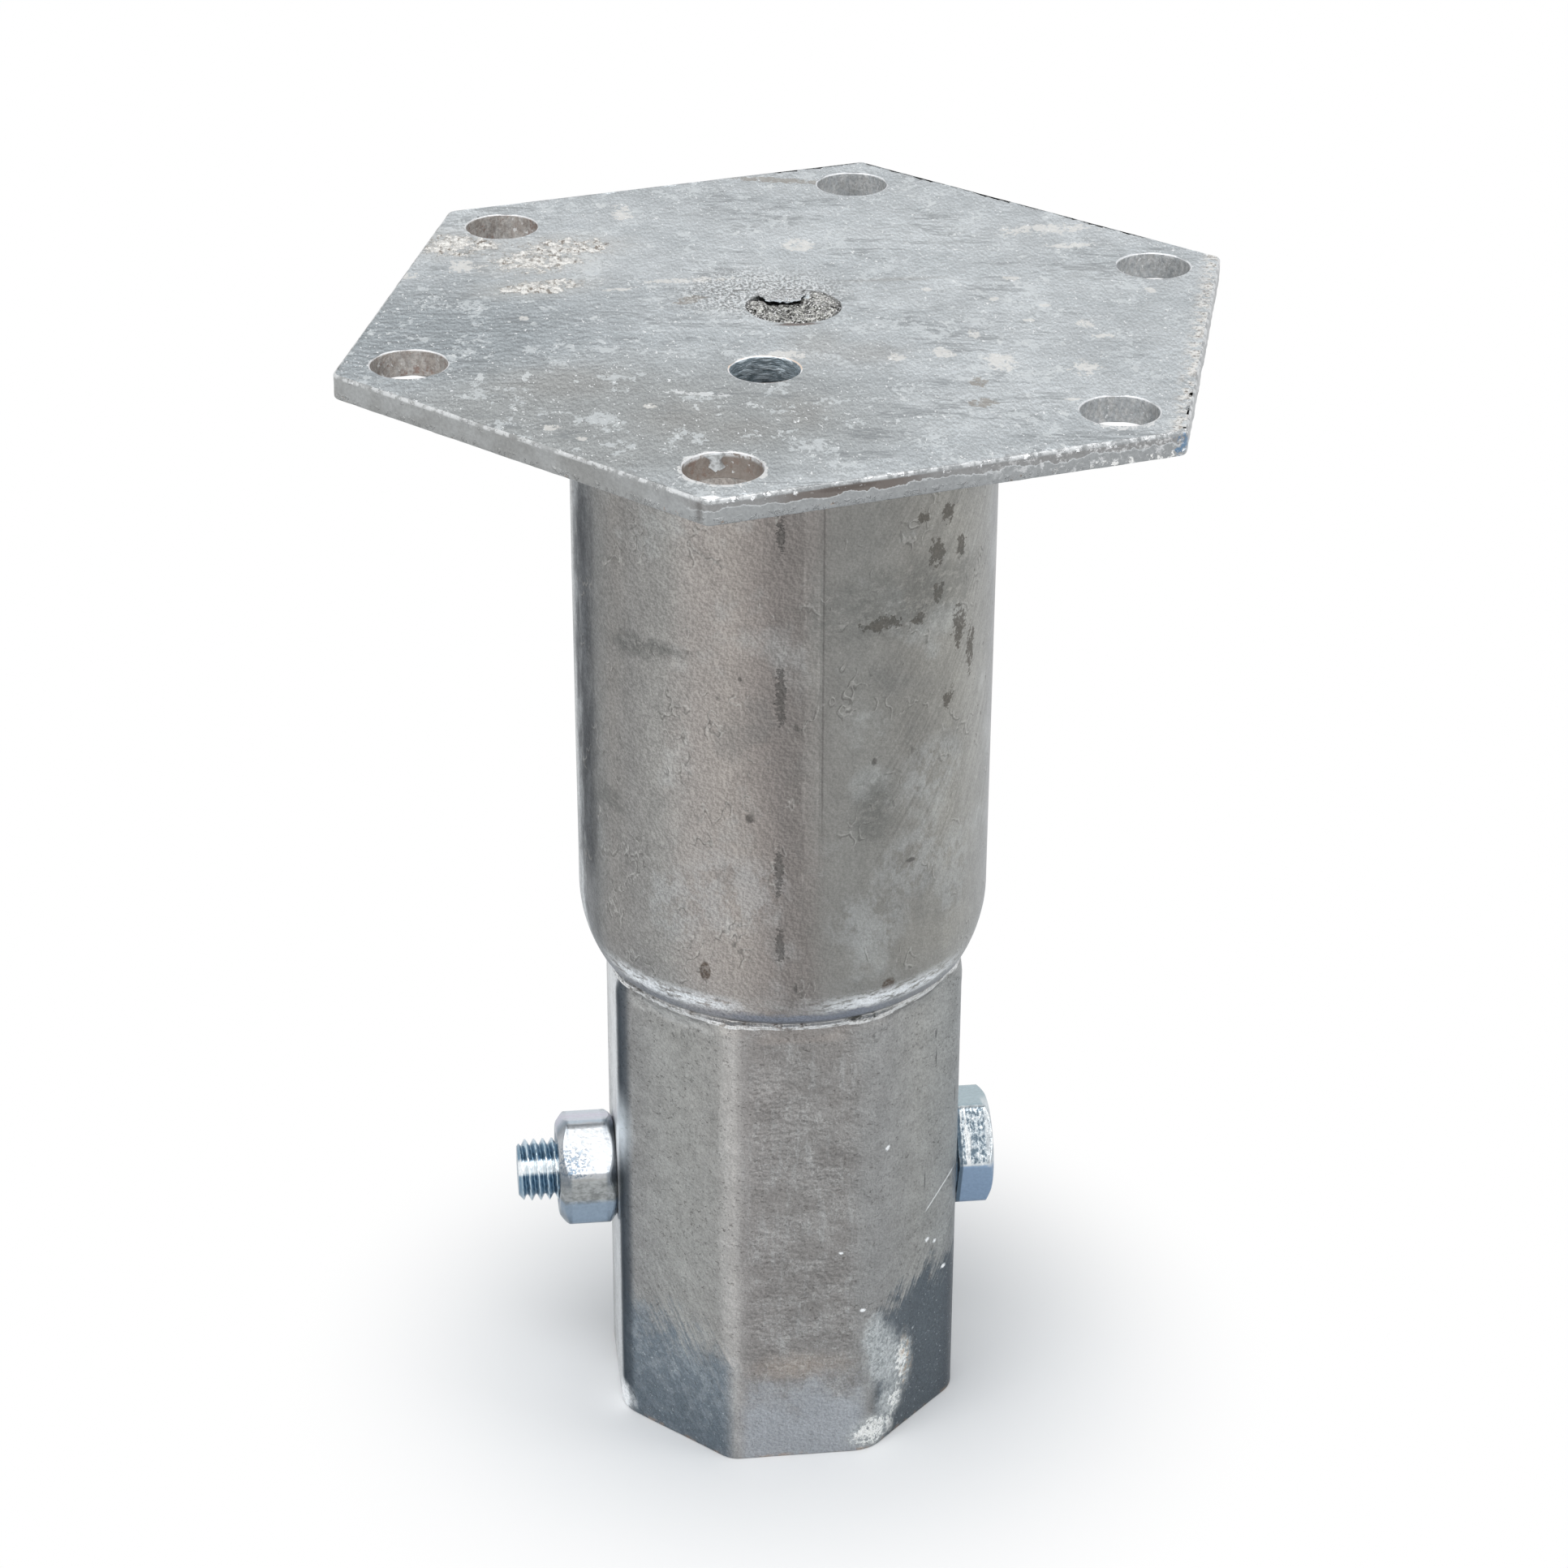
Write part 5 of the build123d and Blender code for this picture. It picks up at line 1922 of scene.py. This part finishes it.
def head_finish():
    """The bolt: the head's front face is blotched with drips, with painted highlights on its edges and painted
    shade by the wall, and the thread has painted shade in its roots and a painted highlight band.
    """
    f, turn = plated("bolt_zinc", HEAD_TONES_LIT_AND_SHADED)
    front = f.band(turn, 9, 13, 70, 74)
    drips = f.noise(1.1, 14, rough=0.75, stretch=(0.8, 1, 1.6))
    f.paint(front * (f.fade(drips, 0.48, 0.53) * 0.9), 88, 110, 126, 1.1)
    f.paint(front * (f.fade(drips, 0.43, 0.39) * 0.9), 250, 252, 253, 1.1)
    near_wall = f.band(f.x, *(WASHER_FACE + off for off in (4.0, 2.8, 1.4, 1.0)))
    upright = f.noise(0.9, 34, detail=2, rough=0.55, stretch=(1, 8, 8))
    f.paint(front * near_wall * f.fade(upright, 0.4, 0.56), 248, 251, 252, 1.15)
    # painted highlights along the front face's edges and the top bevel
    edges = f.either(f.near(turn, 71.3, 2.0), f.near(turn, 11.3, 1.6),
                     f.fade(f.x, bolt_high.x - 2.4, bolt_high.x - 1.7))
    edges = edges * f.band(turn, 6, 10, 80, 100)
    f.paint(edges * 0.5, 244, 248, 250, 1.15)
    # painted shade on the washer face, in the narrow gap between the head and the socket wall
    painted_gap_shade = f.fade(f.x, WASHER_FACE + 1.2, WASHER_FACE + 0.8)
    f.paint(painted_gap_shade * 0.85, 88, 108, 124, 1.4)
    # the thread: painted shade in its roots, and a painted highlight band across its crests
    on_thread = f.fade(f.x, -20, -26)
    height = f.z - BOLT_HEIGHT
    radius = f.maths("SQRT", f.y * f.y + height * height)
    metal = f.mix(f.fade(radius, 6.7, 7.9), f.rgb(118, 146, 166), f.rgb(190, 208, 220))
    painted_gleam = f.near(turn, 38, 22, 0.5) * (f.fade(radius, 5.6, 6.4) * 0.92)
    metal = f.mix(painted_gleam, metal, f.rgb(246, 250, 252))
    f.paint(on_thread, metal)
    return worn(f, f.mixed(on_thread, 0.24, 0.17), (front * drips, -0.06))


def nut_finish():
    """The nut: speckled on its front face, which is painted bright as a highlight, with painted shade on the
    bevels at both ends.
    """
    f, turn = plated("nut_zinc", NUT_TONES_LIT_AND_SHADED)
    centre = (nut_low.x + nut_high.x) / 2
    speckle = f.noise(0.8, 24, detail=3)
    where = f.band(turn, 20, 24, 34, 74) * f.fade(f.x, centre + 5, centre - 4)
    speckle = f.fade(speckle + where * 0.08, 0.57, 0.61) * where
    f.paint(speckle * 0.85, 104, 126, 146, 1.2)
    # the face below it is pitted, most of all along its lower edge
    pitted = f.band(turn, 20, 17, -8, -16)
    mottle = f.noise(1.6, 44, rough=0.75, stretch=(1.6, 1, 1))
    f.tone(f.mixed(pitted, 0.5, f.fade(mottle, 0.4, 0.6)), 0.24)
    # painted shade on the bevels at both ends
    end = f.either(f.fade(f.x, nut_low.x + 3.4, nut_low.x + 2.4),
                   f.fade(f.x, nut_high.x - 3.4, nut_high.x - 2.4))
    off_face = f.fade(abs((turn + 398.9) % 60 - 30), 12, 30)
    bevel = end * (off_face * 0.8 + 0.2)
    f.paint(bevel * 0.7, 104, 116, 128, 1.2)
    return worn(f, 0.24, (speckle, -0.03))


for piece, make in ((bolt, head_finish), (nut, nut_finish)):
    piece.data.materials.append(make())
print("plating:", [len(piece.data.materials[0].node_tree.nodes) for piece in (bolt, nut)], "nodes")

# %% [markdown]
# ## Finishes of web, weld and slag
#
# The web and the weld are dipped zinc like the tube. The slag is the opposite of plating:
# all grain, with painted shade in its pits and bright crystals.

# %% Web, weld and slag
def web_finish():
    f = Finish("web_zinc")
    grain = f.noise(1.0, 4, **SMOOTH)
    f.colour = f.mix(f.fade(grain, 0.35, 0.65), f.rgb(176, 178, 178, 1.1), f.rgb(226, 229, 230, 1.1))
    return f.coat(0.4, 0.6, f.relief((grain, 0.2)))


def weld_finish():
    f = Finish("weld_zinc")
    grit = f.noise(1.6, 3)
    f.colour = f.mix(f.fade(grit, 0.35, 0.65), (0.24, 0.25, 0.26), (0.42, 0.44, 0.45))
    return f.coat(0.4, 0.8, f.relief((grit, 0.15)))


def slag_finish():
    """Dark grains and bright crystals, with painted shade in the hollows and the gaps, a glittering shelf with
    a painted highlight along its edge, and its painted shadow.
    """
    f = Finish("slag")
    grains = f.noise(0.62, 6, detail=5, rough=0.8)
    clumps = f.noise(2.2, 16)
    f.colour = f.mix(f.fade(grains, 0.47, 0.53), (0.022, 0.02, 0.018), (0.54, 0.54, 0.51))
    f.tone(f.fade(clumps, 0.38, 0.62), 0.5)
    # painted shade in the gap between the slag and the hole's wall
    rim = f.patch((VENT[0], VENT[1], PLATE_TOP - 1), (10.2, 10.2, 30), 0.03, 0.12)
    f.paint((1.0 - rim) * 0.75, (0.05, 0.05, 0.05))
    crystals = f.bits(0.5, 0.585, 0.625, 26, detail=2, rough=0.55)
    f.paint(crystals, (0.95, 0.95, 0.95))
    # painted shade in the deep hollows and in the gap along the near rim
    painted_pit_shade = f.either(f.under_top(2.3, 3.2),
                   f.patch((VENT[0] + 0.5, VENT[1] - 10.1, PLATE_TOP), (4.5, 1.1, 9), 0.3, 0.8))
    f.paint(painted_pit_shade * 0.85, (0.02, 0.02, 0.02))
    # the shelf: glittering on top, with a painted blue-white highlight along its free edge and a painted black
    # shadow under it
    centre = (VENT[0] + SHELF[0], VENT[1] + SHELF[1], PLATE_TOP)
    shelf = f.patch(centre, (SHELF_HALF[0] + 1.3, SHELF_HALF[1] + 1.3, 3), 0.02) * f.under_top(0.75, 0.6)
    glitter = f.mix(f.fade(grains, 0.45, 0.52), (0.1, 0.1, 0.1), (0.62, 0.64, 0.65))
    glitter = f.mix(crystals, glitter, (0.92, 0.93, 0.94))
    f.paint(shelf, glitter)
    front = shelf * f.under_top(0.1, 0.25) * f.fade(f.y, VENT[1] + 8, VENT[1] + 5)
    f.paint(front * 0.8, (0.78, 0.86, 0.92))
    under = f.fade(f.y, VENT[1] + 3.9, VENT[1] + 5.0) * f.under_top(0.45, 0.6)
    under = under * f.fade(abs(f.x - centre[0]), 5.2, 3.8)
    f.paint(under * 0.9, (0.02, 0.02, 0.02))
    return f.coat(0.34, 0.7, f.relief((grains, 0.45), (clumps, 0.5)))


for piece, make in ((web, web_finish), (weld, weld_finish), (slag, slag_finish)):
    piece.data.materials.append(make())
print("small parts finished")
